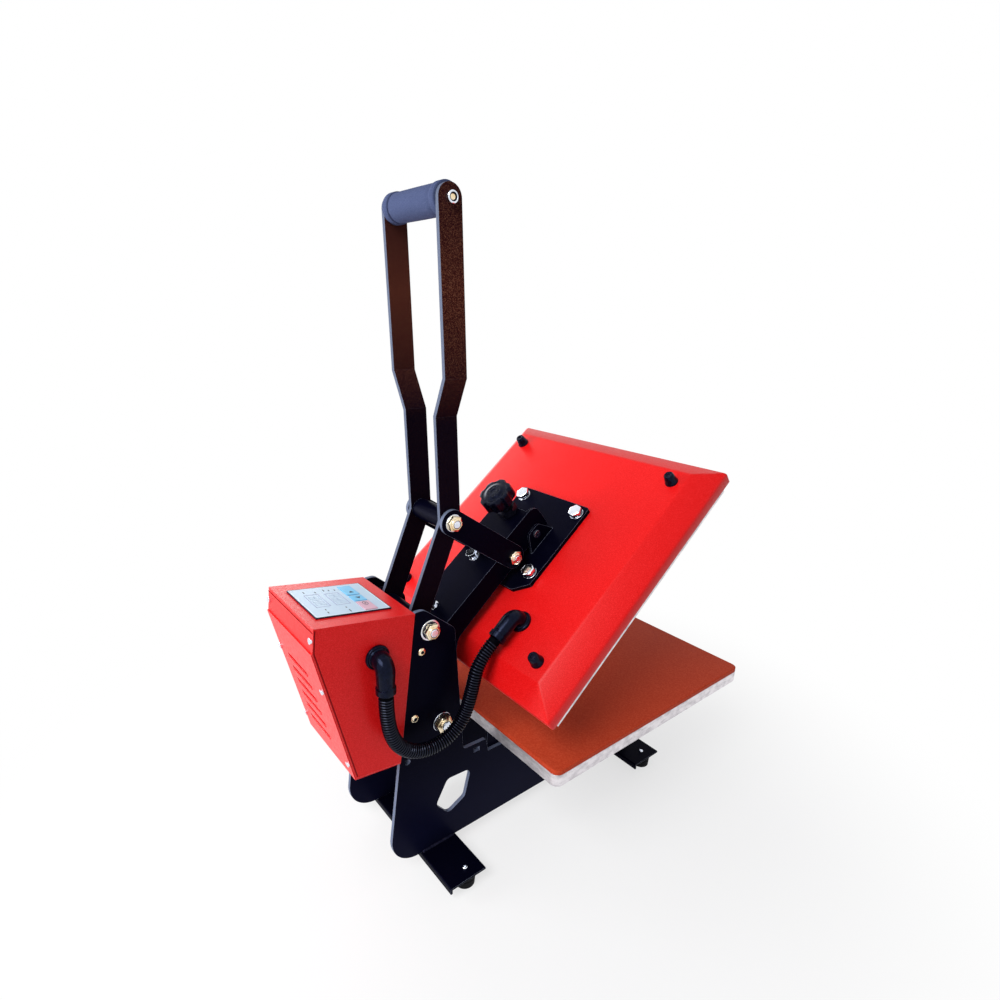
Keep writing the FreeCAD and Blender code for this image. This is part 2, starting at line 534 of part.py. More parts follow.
LINK_IN = "(arm_outer + link_gap)"
LINK_OUT = "(arm_outer + link_gap + link_thick)"
KNEE_REACH = "(%s + side_gap)" % LINK_OUT
knee_shank = rod("knee_bolt_shank", ("-%s - lift_pin * 1.6" % KNEE_REACH, KNEE_Y, KNEE_Z), "lift_pin",
                 "2 * %s + lift_pin * 1.6" % KNEE_REACH)
knee_head = hexagon("knee_bolt_head", (KNEE_REACH, KNEE_Y, KNEE_Z), "lift_pin * 3", "lift_pin * 1.1")
knee_nut = join("knee_nut_whole", [
    hexagon("knee_nut_hex", ("-%s - lift_pin" % KNEE_REACH, KNEE_Y, KNEE_Z), "lift_pin * 3", "lift_pin"),
    cone("knee_nut_crown", ("-%s - lift_pin * 1.4" % KNEE_REACH, KNEE_Y, KNEE_Z), "lift_pin * 1.1",
         "lift_pin * 1.35", "lift_pin * 0.4")])
knee_nut_bore = rod("knee_nut_bore", ("-2 * %s" % KNEE_REACH, KNEE_Y, KNEE_Z), "lift_pin + fit",
                    "2 * " + KNEE_REACH)
knee_bolt = join("knee_bolt", [knee_shank, knee_head])
node(group("cross_bolt", [knee_bolt, cut("knee_nut", knee_nut, [knee_nut_bore])]), "cross_bolt")

GRIP_HALF = "(bar_inner + bar_splay)"
grip_core = rod("grip_core", ("-" + GRIP_HALF, "grip_y", "grip_z"), "grip_tube_radius", "2 * " + GRIP_HALF)
grip_core_bore = rod("grip_core_bore", ("-" + GRIP_HALF, "grip_y", "grip_z"), "grip_bolt + fit",
                     "2 * " + GRIP_HALF)
node(cut("grip_tube", grip_core, [grip_core_bore]), "grip_tube")
foam = [rod("foam_middle", ("-%s + side_gap" % GRIP_HALF, "grip_y", "grip_z"), "foam_radius",
            "2 * (%s - side_gap)" % GRIP_HALF)]
for tag, start in (("left", "-%s + side_gap" % GRIP_HALF),
                   ("right", GRIP_HALF + " - side_gap - foam_collar")):
    foam.append(rod("foam_collar_" + tag, (start, "grip_y", "grip_z"), "foam_collar_radius", "foam_collar"))
foam_bore = rod("foam_bore", ("-" + GRIP_HALF, "grip_y", "grip_z"), "grip_tube_radius", "2 * " + GRIP_HALF)
node(cut("foam_grip", join("foam_whole", foam), [foam_bore]), "foam_grip")
grip_bolts = []
for tag, face, turn in (("left", "-%s - bar_thick" % GRIP_HALF, "rotation(vector(0;1;0);-90)"),
                        ("right", GRIP_HALF + " + bar_thick", X_AXIS)):
    grip_bolts.append(screw("grip_bolt_" + tag, (face, "grip_y", "grip_z"), "grip_bolt", "grip_bolt_head",
                            "grip_bolt", "bar_thick + 18", turn))
node(group("grip_bolts", grip_bolts), "grip_bolts")

# Toggle link: a plate each side, from the handle's cross bolt to the arm's lifting pin
TURN_Y = "(arm_pivot_y + (lift_pin_y - arm_pivot_y) * cos(open_angle)" \
    " + (lift_pin_z - arm_pivot_z) * sin(open_angle))"
TURN_Z = "(arm_pivot_z - (lift_pin_y - arm_pivot_y) * sin(open_angle)" \
    " + (lift_pin_z - arm_pivot_z) * cos(open_angle))"
LINK_LENGTH = "sqrt((%s - %s)^2 + (%s - %s)^2)" % (TURN_Y, KNEE_Y, TURN_Z, KNEE_Z)
LINK_ANGLE = "atan2(%s - %s; %s - %s)" % (TURN_Z, KNEE_Z, TURN_Y, KNEE_Y)
link_bolts = []
for side, start, outward in (("left", "-" + LINK_OUT, -1), ("right", LINK_IN, 1)):
    label = "link_plate_" + side
    blank = join(label + "_blank", strip(label, KNEE_Y, KNEE_Z, LINK_LENGTH, LINK_ANGLE, "link_width",
                                         "link_thick"))
    place(blank, spot(start + " + link_thick / 2", 0, 0))
    bores = [rod(label + "_knee_bore", ("-2 * " + LINK_OUT, KNEE_Y, KNEE_Z), "lift_pin + fit",
                 "4 * " + LINK_OUT),
             rod(label + "_lift_bore", ("-2 * " + LINK_OUT, TURN_Y, TURN_Z), "lift_pin + fit",
                 "4 * " + LINK_OUT)]
    node(cut(label, blank, bores), label)
    turn = X_AXIS if outward > 0 else "rotation(vector(0;1;0);-90)"
    stud = rod("link_stud_" + side, ("%d * %s" % (outward, LINK_IN), TURN_Y, TURN_Z), "lift_pin",
               "link_thick + lift_pin * 1.6", turn)
    hexes = hexagon("link_nut_" + side, ("%d * %s" % (outward, LINK_OUT), TURN_Y, TURN_Z), "lift_pin * 3",
                    "lift_pin", turn)
    crown = cone("link_crown_" + side, ("%d * (%s + lift_pin)" % (outward, LINK_OUT), TURN_Y, TURN_Z),
                 "lift_pin * 1.35", "lift_pin * 1.1", "lift_pin * 0.4", turn)
    link_bolts.append(join("link_bolt_" + side, [stud, hexes, crown]))
node(group("link_end_bolts", link_bolts), "link_end_bolts")

# Arm: a channel from the heel pivot to the lifting pin
ARM_IN = "(arm_outer - arm_wall)"
arm_corners = [("arm_lug_front", "arm_top"), ("arm_back", "arm_top"),
               ("arm_heel_back", "arm_pivot_z + arm_heel_rise"),
               ("arm_heel_back", "arm_heel_low"), ("arm_heel_front", "arm_heel_low"),
               ("arm_belly_y", "arm_belly_z"), ("arm_lug_front", "arm_lug_low")]
arm_holes = [("arm_pivot_y", "arm_pivot_z", "arm_bolt + fit"), ("lift_pin_y", "lift_pin_z", "lift_pin + fit")]
arm_walls = []
for side, start in (("left", "-arm_outer"), ("right", ARM_IN)):
    wall = flat("arm_wall_" + side, arm_corners, "arm_wall", holes=arm_holes,
                rounds=[("arm_round", [0, 3, 4, 6]), ("arm_heel_round", [1, 2]), ("arm_belly_round", [5])])
    arm_walls.append(place(wall, spot(start, 0, 0)))
arm_deck = flat("arm_deck", [("-arm_outer", "arm_front"), ("arm_outer", "arm_front"),
                             ("arm_outer", "arm_back - deck_short"), ("-arm_outer", "arm_back - deck_short")],
                "arm_wall", "XY_Plane", rounds=[("deck_round", [0, 1])])
place(arm_deck, spot(0, 0, "arm_top - arm_wall"))
stop_holes = [rod("stop_hole_%d" % i, (0, y, "arm_top - 2 * arm_wall"), "stop_screw + fit",
                  "3 * arm_wall", Z_AXIS) for i, y in enumerate(("stop_rear_y", "stop_front_y"))]
node(cut("arm_channel", join("arm_whole", arm_walls + [arm_deck]), stop_holes), "arm_channel", RAISED)

heel_tube = sleeve("arm_pivot_tube", "-" + ARM_IN, "arm_pivot_y", "arm_pivot_z", "arm_bolt", "2 * " + ARM_IN)
node(heel_tube, "arm_pivot_tube", RAISED)
node(rod("lift_pin", ("-arm_outer", "lift_pin_y", "lift_pin_z"), "lift_pin", "2 * arm_outer"), "lift_pin",
     RAISED)

# Stop screws on the deck: the lowered cross tube comes to rest over the rear one
STOP_HEAD = "(stop_screw * 1.3)"
stop_screws = []
stop_nuts = []
for tag, stop_y in (("rear", "stop_rear_y"), ("front", "stop_front_y")):
    nut = hexagon("stop_nut_hex_" + tag, (0, stop_y, "arm_top"), "stop_screw * 3.2", "stop_nut_high", Z_AXIS)
    bore = rod("stop_nut_bore_" + tag, (0, stop_y, "arm_top"), "stop_screw + fit", "stop_nut_high", Z_AXIS)
    stop_nuts.append(cut("stop_nut_" + tag, nut, [bore]))
    shank = rod("stop_shank_" + tag, (0, stop_y, "arm_top - stop_below"), "stop_screw",
                "stop_below + stop_nut_high + stop_thread", Z_AXIS)
    head = hexagon("stop_head_" + tag, (0, stop_y, "arm_top + stop_nut_high + stop_thread"),
                   "stop_screw * 3.2", STOP_HEAD, Z_AXIS)
    stop_screws.append(join("stop_screw_" + tag, [shank, head]))
node(group("stop_screws", stop_screws + stop_nuts), "stop_screws", RAISED)

# Press head: a deeper channel nested in the front of the arm
head_corners = [("head_tail", "arm_top - arm_wall"), ("head_step", "arm_top - arm_wall"),
                ("head_back", "head_top"),
                ("head_front", "head_top"), ("head_front", "head_low"), ("head_tail", "head_low + 5")]
head_walls = []
for side, start in (("left", "-" + ARM_IN), ("right", ARM_IN + " - arm_wall")):
    wall = flat("head_wall_" + side, head_corners, "arm_wall",
                rounds=[("head_round", [3]), ("head_ease", [4])],
                holes=[("lift_pin_y", "lift_pin_z", "lift_pin + fit")])
    head_walls.append(place(wall, spot(start, 0, 0)))
head_deck = box("head_deck", ("-" + ARM_IN, "head_front + head_round", "head_top - head_plate"),
                "2 * " + ARM_IN,
                "head_back - head_front - head_round", "head_plate")
GUIDE = "(pin_radius + 2 * fit)"
guide_tools = [rod("head_screw_hole", (0, "screw_y", "head_top - 2 * head_plate"), "screw_radius + fit",
                   "3 * head_plate", Z_AXIS),
               rod("guide_low", ("-arm_outer", "screw_y", "pin_z"), GUIDE, "2 * arm_outer"),
               rod("guide_high", ("-arm_outer", "screw_y", "pin_z + pin_travel"), GUIDE, "2 * arm_outer"),
               box("guide_middle", ("-arm_outer", "screw_y - " + GUIDE, "pin_z"), "2 * arm_outer",
                   "2 * " + GUIDE,
                   "pin_travel")]
node(cut("press_head", join("head_whole", head_walls + [head_deck]), guide_tools), "press_head", RAISED)

# Pressure screw, held by a thrust collar under the deck and turned by a lobed knob
lock = hexagon("lock_nut_hex", (0, "screw_y", "head_top"), "screw_radius * 3", "lock_nut_high", Z_AXIS)
lock_bore = rod("lock_nut_bore", (0, "screw_y", "head_top"), "screw_radius + fit", "lock_nut_high", Z_AXIS)
node(cut("lock_nut", lock, [lock_bore]), "lock_nut", RAISED)
screw_shank = rod("screw_shank", (0, "screw_y", "screw_low"), "screw_radius",
                  "knob_low + knob_high - screw_low", Z_AXIS)
collar = rod("thrust_collar", (0, "screw_y", "head_top - head_plate - side_gap - thrust_thick"),
             "thrust_radius", "thrust_thick", Z_AXIS)
node(join("pressure_screw", [screw_shank, collar]), "pressure_screw", RAISED)
knob_disc = rod("knob_disc", (0, "screw_y", "knob_low"), "knob_radius", "knob_high", Z_AXIS)
knob_hub = cone("knob_hub_cone", (0, "screw_y", "knob_low + knob_high"), "knob_hub + 3", "knob_hub",
                "knob_hub_high", Z_AXIS)
knob_neck = rod("knob_neck", (0, "screw_y", "knob_low - knob_high / 2"), "knob_hub", "knob_high / 2", Z_AXIS)
scoops = []
for i in range(int(size("knob_lobes"))):
    scoop = doc.addObject("Part::Cylinder", "knob_scoop_%d" % i)
    bind(scoop, Radius="knob_scoop", Height="knob_high + 2")
    turn = "rotation(vector(0;0;1);360 * %d / knob_lobes)" % i
    outward = spot("knob_radius + knob_scoop * 0.6", 0, 0)
    place(scoop, spot(0, "screw_y", "knob_low - 1", turn) + " * " + outward)
    scoops.append(scoop)
knob_bore = rod("knob_bore", (0, "screw_y", "knob_low - knob_high"), "screw_radius + fit", "2 * knob_high",
                Z_AXIS)
node(cut("pressure_knob", join("knob_whole", [knob_disc, knob_hub, knob_neck]), scoops + [knob_bore]),
     "pressure_knob", RAISED)

# Block that the screw draws up and down inside the head, and the pin that it shares with the bracket's ears
block_solid = box("block_solid", ("-%s + arm_wall + side_gap" % ARM_IN, "screw_y - block_length / 2",
                                  "block_low"),
                  "2 * (%s - arm_wall - side_gap)" % ARM_IN, "block_length", "block_top - block_low")
block_bores = [rod("block_screw_bore", (0, "screw_y", "screw_low - pin_travel - 0.2"), "screw_radius + fit",
                   "block_top", Z_AXIS),
               rod("block_pin_bore", ("-arm_outer", "screw_y", "pin_z"), "pin_radius + fit", "2 * arm_outer")]
node(cut("pressure_block", block_solid, block_bores), "pressure_block", RAISED)
EAR_OUT = "(%s + side_gap + ear_wall)" % ARM_IN
pin_shank = rod("pin_shank", ("-%s - 2" % EAR_OUT, "screw_y", "pin_z"), "pin_radius", "2 * %s + 4" % EAR_OUT)
node(pin_shank, "platen_pin", RAISED)

# Bracket: a plate bolted to the cover, with two welded ears
COVER_TOP = "(platen_rise + skirt_high + cover_rise)"
bracket_half = "bracket_width / 2"
bracket_corners = [("-" + bracket_half, "bracket_front"), (bracket_half, "bracket_front"),
                   (bracket_half, "bracket_back - bracket_cut_deep"),
                   (bracket_half + " - bracket_cut", "bracket_back"),
                   ("-%s + bracket_cut" % bracket_half, "bracket_back"),
                   ("-" + bracket_half, "bracket_back - bracket_cut_deep")]
bracket_spots = [(x, y) for x in ("bracket_bolt_x", "-bracket_bolt_x")
                 for y in ("bracket_bolt_back", "bracket_bolt_front")]
base = flat("bracket_base", bracket_corners, "bracket_thick", "XY_Plane",
            rounds=[("4", [0, 1])], holes=[(x, y, "bracket_bolt + fit") for x, y in bracket_spots])
place(base, spot(0, 0, COVER_TOP))
ears = []
ear_corners = [("screw_y + 22", COVER_TOP + " + bracket_thick"), ("screw_y + ear_round", "pin_z + ear_round"),
               ("screw_y - ear_round", "pin_z + ear_round"), ("screw_y - 24", COVER_TOP + " + bracket_thick")]
for side, start in (("left", "-" + EAR_OUT), ("right", EAR_OUT + " - ear_wall")):
    ear = flat("ear_" + side, ear_corners, "ear_wall", rounds=[("ear_round * 0.8", [1, 2])],
               holes=[("screw_y", "pin_z", "pin_radius + fit")])
    ears.append(place(ear, spot(start, 0, 0)))
node(join("platen_bracket", [base] + ears), "platen_bracket", RAISED)
bracket_bolts = []
for i, (x, y) in enumerate(bracket_spots):
    head = hexagon("bracket_bolt_head_%d" % i, (x, y, COVER_TOP + " + bracket_thick"), "bracket_bolt * 3.3",
                   "bracket_bolt * 1.28", Z_AXIS)
    shank = rod("bracket_bolt_shank_%d" % i, (x, y, COVER_TOP + " - cover_wall - 6"), "bracket_bolt",
                "bracket_thick + cover_wall + 6", Z_AXIS)
    bracket_bolts.append(join("bracket_bolt_%d" % i, [head, shank]))
node(group("bracket_bolts", bracket_bolts), "bracket_bolts", RAISED)


# Upper platen: a folded cover over insulation, with the heating plate below
def hood(name, inset, low, high):
    """A square skirt with a pyramid frustum on it, shrunk by an inset."""
    half = "(platen_size / 2 - (%s))" % inset
    skirt = box(name + "_skirt", ("-" + half, "-" + half, low), "2 * " + half, "2 * " + half,
                "platen_rise + skirt_high - (%s)" % low)
    slope = doc.addObject("Part::Wedge", name + "_slope")
    bind(slope, Xmin="-" + half, Xmax=half, Zmin="-" + half, Zmax=half, Ymin=0, Ymax=high,
         X2min="-%s + cover_inset" % half, X2max=half + " - cover_inset",
         Z2min="-%s + cover_inset" % half, Z2max=half + " - cover_inset")
    place(slope, spot(0, 0, "platen_rise + skirt_high", "rotation(vector(1;0;0);90)"))
    return join(name, [skirt, slope])


bolt_holes = [rod("cover_bolt_hole_%d" % i, (x, y, COVER_TOP + " - 20"), "bracket_bolt + fit", "40", Z_AXIS)
              for i, (x, y) in enumerate(bracket_spots)]
outer_hood = hood("cover_outer", "0", "platen_rise", "cover_rise")
inner_hood = hood("cover_inner", "cover_wall", "platen_rise - 1", "cover_rise - cover_wall")
cap_spots = [(x, y) for x in ("(platen_size / 2 - cap_side_inset)", "(cap_side_inset - platen_size / 2)")
             for y in ("(platen_size / 2 - cap_back_inset)", "(cap_front_inset - platen_size / 2)")]
cap_holes = [rod("cover_cap_hole_%d" % i, (x, y, COVER_TOP + " - 20"), "cap_screw + fit", "40", Z_AXIS)
             for i, (x, y) in enumerate(cap_spots)]
node(cut("platen_cover", outer_hood, [inner_hood] + bolt_holes + cap_holes), "platen_cover", RAISED)

HEATER_HALF = "(platen_size / 2 - heater_inset)"
HEATER_TOP = "(platen_rise + heater_into)"
heater = box("heater_solid", ("-" + HEATER_HALF, "-" + HEATER_HALF, "pressing_gap"), "2 * " + HEATER_HALF,
             "2 * " + HEATER_HALF, HEATER_TOP + " - pressing_gap")
grooves = []
elements = []
for i, x in enumerate(("-element_reach", "-element_reach / 3", "element_reach / 3", "element_reach")):
    groove_corner = (x + " - element_radius - fit", "-element_reach",
                     HEATER_TOP + " - element_radius * 2 - fit")
    grooves.append(box("element_groove_%d" % i, groove_corner, "2 * (element_radius + fit)",
                       "2 * element_reach", "element_radius * 3"))
    elements.append(rod("element_%d" % i, (x, "-element_reach", HEATER_TOP + " - element_radius"),
                        "element_radius",
                        "2 * element_reach", Y_AXIS))
sensor_hole = rod("sensor_hole", (0, 0, HEATER_TOP + " - 6"), "sensor_radius + fit", "10", Z_AXIS)
node(cut("heating_plate", heater, grooves + [sensor_hole]), "heating_plate", RAISED)
node(group("heating_elements", elements), "heating_elements", RAISED)
sensor = rod("sensor_body", (0, 0, HEATER_TOP + " - 6"), "sensor_radius", "6", Z_AXIS)
node(sensor, "temperature_sensor", RAISED)

blanket = box("blanket", ("-platen_size / 2 + cover_inset + 12", "-platen_size / 2 + cover_inset + 12",
                          HEATER_TOP),
              "platen_size - 2 * (cover_inset + 12)", "platen_size - 2 * (cover_inset + 12)",
              COVER_TOP + " - cover_wall - " + HEATER_TOP)
blanket_holes = [rod("blanket_hole_%d" % i, (x, y, HEATER_TOP), "bracket_bolt + 1", "60", Z_AXIS)
                 for i, (x, y) in enumerate(bracket_spots)]
blanket_holes += [rod("blanket_cap_hole_%d" % i, (x, y, HEATER_TOP), "cap_screw + 1", "60", Z_AXIS)
                  for i, (x, y) in enumerate(cap_spots)]
node(cut("insulation", blanket, blanket_holes), "insulation", RAISED)

caps = []
for i, (x, y) in enumerate(cap_spots):
    body_cone = cone("cap_cone_%d" % i, (x, y, COVER_TOP), "cap_radius", "cap_radius - cap_taper", "cap_high",
                     Z_AXIS)
    stud = rod("cap_shank_%d" % i, (x, y, COVER_TOP + " - cover_wall - 8"), "cap_screw", "cover_wall + 8",
               Z_AXIS)
    caps.append(join("cover_cap_%d" % i, [body_cone, stud]))
node(group("cover_knobs", caps), "cover_knobs", RAISED)


# Cable elbows and the ribbed hose between them
def elbow(label, base_spot, out, reach, pose):
    """A right-angle gland: it stands out along its own Z and its mouth points along its own X."""
    pieces = []
    for name, radius, high in (("disc", "elbow_disc", "elbow_disc_thick"), ("post", "elbow_radius", out)):
        piece = doc.addObject("Part::Cylinder", "%s_%s" % (label, name))
        bind(piece, Radius=radius, Height=high)
        pieces.append(place(piece, base_spot))
    ball = doc.addObject("Part::Sphere", label + "_ball")
    bind(ball, Radius="elbow_radius")
    pieces.append(place(ball, base_spot + " * " + spot(0, 0, out)))
    spout = doc.addObject("Part::Cone", label + "_spout")
    bind(spout, Radius1="elbow_radius", Radius2="elbow_tip", Height=reach)
    pieces.append(place(spout, base_spot + " * " + spot(0, 0, out, X_AXIS)))
    mouth = doc.addObject("Part::Cylinder", label + "_mouth")
    bind(mouth, Radius="hose_bore", Height="%s / 2" % reach)
    place(mouth, base_spot + " * " + spot("%s / 2" % reach, 0, out, X_AXIS))
    return node(cut(label, join(label + "_whole", pieces), [mouth]), label, pose)


elbow("box_elbow", spot("-box_half", "box_elbow_y", "box_elbow_z", "rotation(vector(0;1;0);-90)") + " * " +
      spot(0, 0, 0, "rotation(vector(0;0;1);180)"), "box_elbow_out", "box_elbow_reach", HOME)
elbow("cover_elbow", spot("cover_elbow_x", "cover_elbow_y", COVER_TOP, "rotation(vector(0;0;1);90)"),
      "cover_elbow_out", "cover_elbow_reach", RAISED)


def swung(x, y, z):
    """A point of the lowered arm, carried to the open position."""
    angle = math.radians(size("open_angle"))
    along, up = y - size("arm_pivot_y"), z - size("arm_pivot_z")
    return FreeCAD.Vector(x, size("arm_pivot_y") + along * math.cos(angle) + up * math.sin(angle),
                          size("arm_pivot_z") - along * math.sin(angle) + up * math.cos(angle))


def hose_path():
    """Straight runs joined by tangent arcs, from the box elbow's mouth to the cover elbow's."""
    first = FreeCAD.Vector(-size("box_half") - size("box_elbow_out"), size("box_elbow_y"),
                           size("box_elbow_z") - size("box_elbow_reach"))
    cover_top = size("platen_rise") + size("skirt_high") + size("cover_rise")
    mouth_y = size("cover_elbow_y") + size("cover_elbow_reach")
    mouth_z = cover_top + size("cover_elbow_out")
    last = swung(size("cover_elbow_x"), mouth_y, mouth_z)
    straight = swung(size("cover_elbow_x"), mouth_y + size("hose_straight"), mouth_z)
    drop = FreeCAD.Vector(0, 0, -size("hose_straight"))
    middle = [FreeCAD.Vector(*[size("hose_%s_%s" % (tag, axis)) for axis in "xyz"]) for tag in "abcdef"]
    points = [first, first + drop] + middle + [straight, last]
    edges = []
    here = points[0]
    for before, corner, after in zip(points, points[1:], points[2:]):
        back = before - corner
        ahead = after - corner
        trim = 0.45 * min(back.Length, ahead.Length)
        half_turn = (math.pi - back.getAngle(ahead)) / 2
        print("hose bend radius %.0f mm" % (trim / math.tan(half_turn)))
        back.normalize()
        ahead.normalize()
        start, end = corner + back * trim, corner + ahead * trim
        middle_way = back + ahead
        middle_way.normalize()
        inset = trim * math.tan(half_turn / 2)
        edges.append(Part.LineSegment(here, start).toShape())
        edges.append(Part.Arc(start, corner + middle_way * inset, end).toShape())
        here = end
    edges.append(Part.LineSegment(here, points[-1]).toShape())
    return edges


def ring_at(edges, along, radius):
    """A circle square to the path, at a distance along it, its seam kept on the X side."""
    for edge in edges:
        if along <= edge.Length or edge is edges[-1]:
            parameter = edge.getParameterByLength(min(along, edge.Length))
            point, ahead = edge.valueAt(parameter), edge.tangentAt(parameter)
            break
        along -= edge.Length
    across = FreeCAD.Vector(1, 0, 0) - ahead * ahead.x
    across.normalize()
    turn = FreeCAD.Rotation(across, ahead.cross(across), ahead, "ZXY")
    circle = Part.makeCircle(radius)
    circle.Placement = FreeCAD.Placement(point, turn)
    return Part.Wire([circle])


def ribbed_hose():
    """Ribs of a steady pitch as one ruled skin, less the bore."""
    edges = hose_path()
    length = sum(edge.Length for edge in edges)
    ribs = round(length / size("rib_pitch"))
    pitch = length / ribs
    radius, root = size("hose_radius"), size("hose_root")
    rings = []
    for i in range(ribs):
        for share, r in ((0, root), (0.22, root), (0.38, radius), (0.82, radius)):
            rings.append(ring_at(edges, (i + share) * pitch, r))
    rings.append(ring_at(edges, length, root))
    skin = Part.makeLoft(rings, True, True)
    bore = Part.makeLoft([ring_at(edges, length * i / 60, size("hose_bore")) for i in range(61)], True, True)
    print("hose: %d ribs along %.0f mm" % (ribs, length))
    return skin.cut(bore)


hose = doc.addObject("Part::Feature", "hose")
hose.Shape = ribbed_hose()
hose.Label = "ribbed_hose"
hose.Placement = FreeCAD.Placement(
    FreeCAD.Vector(0, (size("platen_size") / 2 - size("box_rear") - size("box_wall")) / 2,
                   size("leg_drop") + size("foot_wall") + size("rubber_height")), FreeCAD.Rotation())
NODES.append(hose)

# Control box: a folded hood behind the towers, with a vented rear cover
FRONT_LOW = "(tower_back + (tower_top - box_low) * %s)" % LEAN
INLET_Y = "(tower_back + (tower_top - inlet_z) * %s + inlet_back)" % LEAN
BOX_HEEL = "(%s + inlet_wide / 2 + inlet_flange + heel_spare)" % INLET_Y
box_profile = [("tower_back", "tower_top"), ("box_top_rear", "box_top_z"), ("box_rear", "box_band_low"),
               (BOX_HEEL, "box_heel_z"), (FRONT_LOW, "box_low")]
shell_blank = flat("shell_blank", box_profile, "2 * box_half")
place(shell_blank, spot("-box_half", 0, 0))
INSIDE = [("tower_back + box_wall * 1.2 + box_wall * 1.3 * " + LEAN, "tower_top - box_wall * 1.3"),
          ("box_top_rear - box_wall * 0.9", "box_top_z - box_wall * 1.2"),
          ("box_rear - box_wall", "box_band_low"), ("box_rear - box_wall", "box_band_low * 0.76"),
          (BOX_HEEL + " + box_half / 3", "box_low - box_half / 3"),
          (FRONT_LOW + " + box_wall * 1.2 + box_half / 3 * " + LEAN, "box_low - box_half / 3")]
shell_hollow = flat("shell_hollow", INSIDE, "2 * (box_half - box_wall)")
place(shell_hollow, spot("-box_half + box_wall", 0, 0))
TILT = "atan2(box_top_z - tower_top; box_top_rear - tower_back)"
TOP_FACE = spot(0, "tower_back", "tower_top", "rotation(vector(1;0;0);%s)" % TILT)


def on_top(kind, name, x, y, z, **sizes):
    """A primitive placed on the box's sloping top face."""
    thing = doc.addObject(kind, name)
    bind(thing, **sizes)
    return place(thing, TOP_FACE + " * " + spot(x, y, z))


panel_hole = on_top("Part::Box", "panel_hole", "-panel_width / 2 + panel_hole_margin",
                    "panel_from + panel_hole_margin", -10, Length="panel_width - 2 * panel_hole_margin",
                    Width="panel_length - 2 * panel_hole_margin", Height=20)
socket_cut = box("socket_cut", ("box_half - 5", INLET_Y + " - inlet_wide / 2", "inlet_z - inlet_high / 2"),
                 10, "inlet_wide", "inlet_high")
switch_cut = box("switch_cut", ("box_half - 5", "switch_y - switch_wide / 2", "switch_z - switch_high / 2"),
                 10, "switch_wide", "switch_high")
elbow_cut = rod("elbow_cut", ("-box_half - 5", "box_elbow_y", "box_elbow_z"), "hose_bore", 10)
node(cut("control_box_shell", shell_blank, [shell_hollow, panel_hole, socket_cut, switch_cut, elbow_cut]),
     "control_box_shell")

cover_profile = [("box_rear", "box_band_low"), (BOX_HEEL, "box_heel_z"), (FRONT_LOW, "box_low"),
                 (FRONT_LOW + " + box_wall * " + LEAN, "box_low - box_wall"),
                 (BOX_HEEL + " + box_wall", "box_heel_z - box_wall"),
                 ("box_rear + box_wall", "box_band_low")]
rear_blank = flat("rear_blank", cover_profile, "2 * box_half")
place(rear_blank, spot("-box_half", 0, 0))
vents = [box("vent_%d" % i, ("vent_x - vent_length / 2", BOX_HEEL + " - 10",
                             "vent_top - %d * vent_pitch" % i),
             "vent_length", "box_rear - %s + 30" % BOX_HEEL, "vent_high")
         for i in range(int(size("vent_count")))]
node(cut("box_rear_cover", rear_blank, vents), "box_rear_cover")

COVER_LEAN = "atan2(box_rear - %s; box_band_low - box_heel_z + box_wall)" % BOX_HEEL
BAND_LEAN = "atan2(box_rear - box_top_rear; box_top_z - box_band_low)"
BAND_Y = "box_rear - (box_rear - box_top_rear) * (band_screw_z - box_band_low) / (box_top_z - box_band_low)"
screw_rows = [(BAND_Y, "band_screw_z", "-90 deg + " + BAND_LEAN)]
for share in ("cover_screw_low", "cover_screw_high"):
    screw_rows.append(("%s + box_wall + (box_rear - %s) * %s" % (BOX_HEEL, BOX_HEEL, share),
                       "box_heel_z - box_wall + (box_band_low - box_heel_z + box_wall) * " + share,
                       "-90 deg - " + COVER_LEAN))
cover_screws = []
for i, (spot_y, spot_z, tilt) in enumerate(screw_rows * 2):
    spot_x = "box_half - box_screw_in" if i < len(screw_rows) else "-box_half + box_screw_in"
    head = doc.addObject("Part::Cylinder", "box_screw_head_%d" % i)
    bind(head, Radius="box_screw_head", Height="box_screw")
    place(head, spot(spot_x, spot_y, spot_z, "rotation(vector(1;0;0);%s)" % tilt))
    cover_screws.append(head)
node(group("box_screws", cover_screws), "box_screws")

# Display panel, its three keys and the circuit board behind it
panel_plate = on_top("Part::Box", "panel_plate", "-panel_width / 2", "panel_from", 0, Length="panel_width",
                     Width="panel_length", Height="panel_thick")
POST_X = "(panel_width / 2 - panel_hole_margin - post_radius - 1)"
POST_FROM = "(panel_from + panel_hole_margin + post_radius + 1)"
POST_TO = "(panel_from + panel_length - panel_hole_margin - post_radius - 1)"
posts = [on_top("Part::Cylinder", "panel_post_%d" % i, x, y, "-board_drop", Radius="post_radius",
                Height="board_drop")
         for i, (x, y) in enumerate((x, y) for x in ("-" + POST_X, POST_X) for y in (POST_FROM, POST_TO))]
KEYS = ("up", "down", "set")


def key_block(name, tag, low, high, gap):
    """A key-shaped block on the panel, larger all round by a gap."""
    return on_top("Part::Box", name + tag, "key_%s_x - key_%s_wide / 2 - %s" % (tag, tag, gap),
                  "panel_from + key_from - %s" % gap, low, Length="key_%s_wide + 2 * %s" % (tag, gap),
                  Width="key_long + 2 * %s" % gap, Height="%s - (%s)" % (high, low))


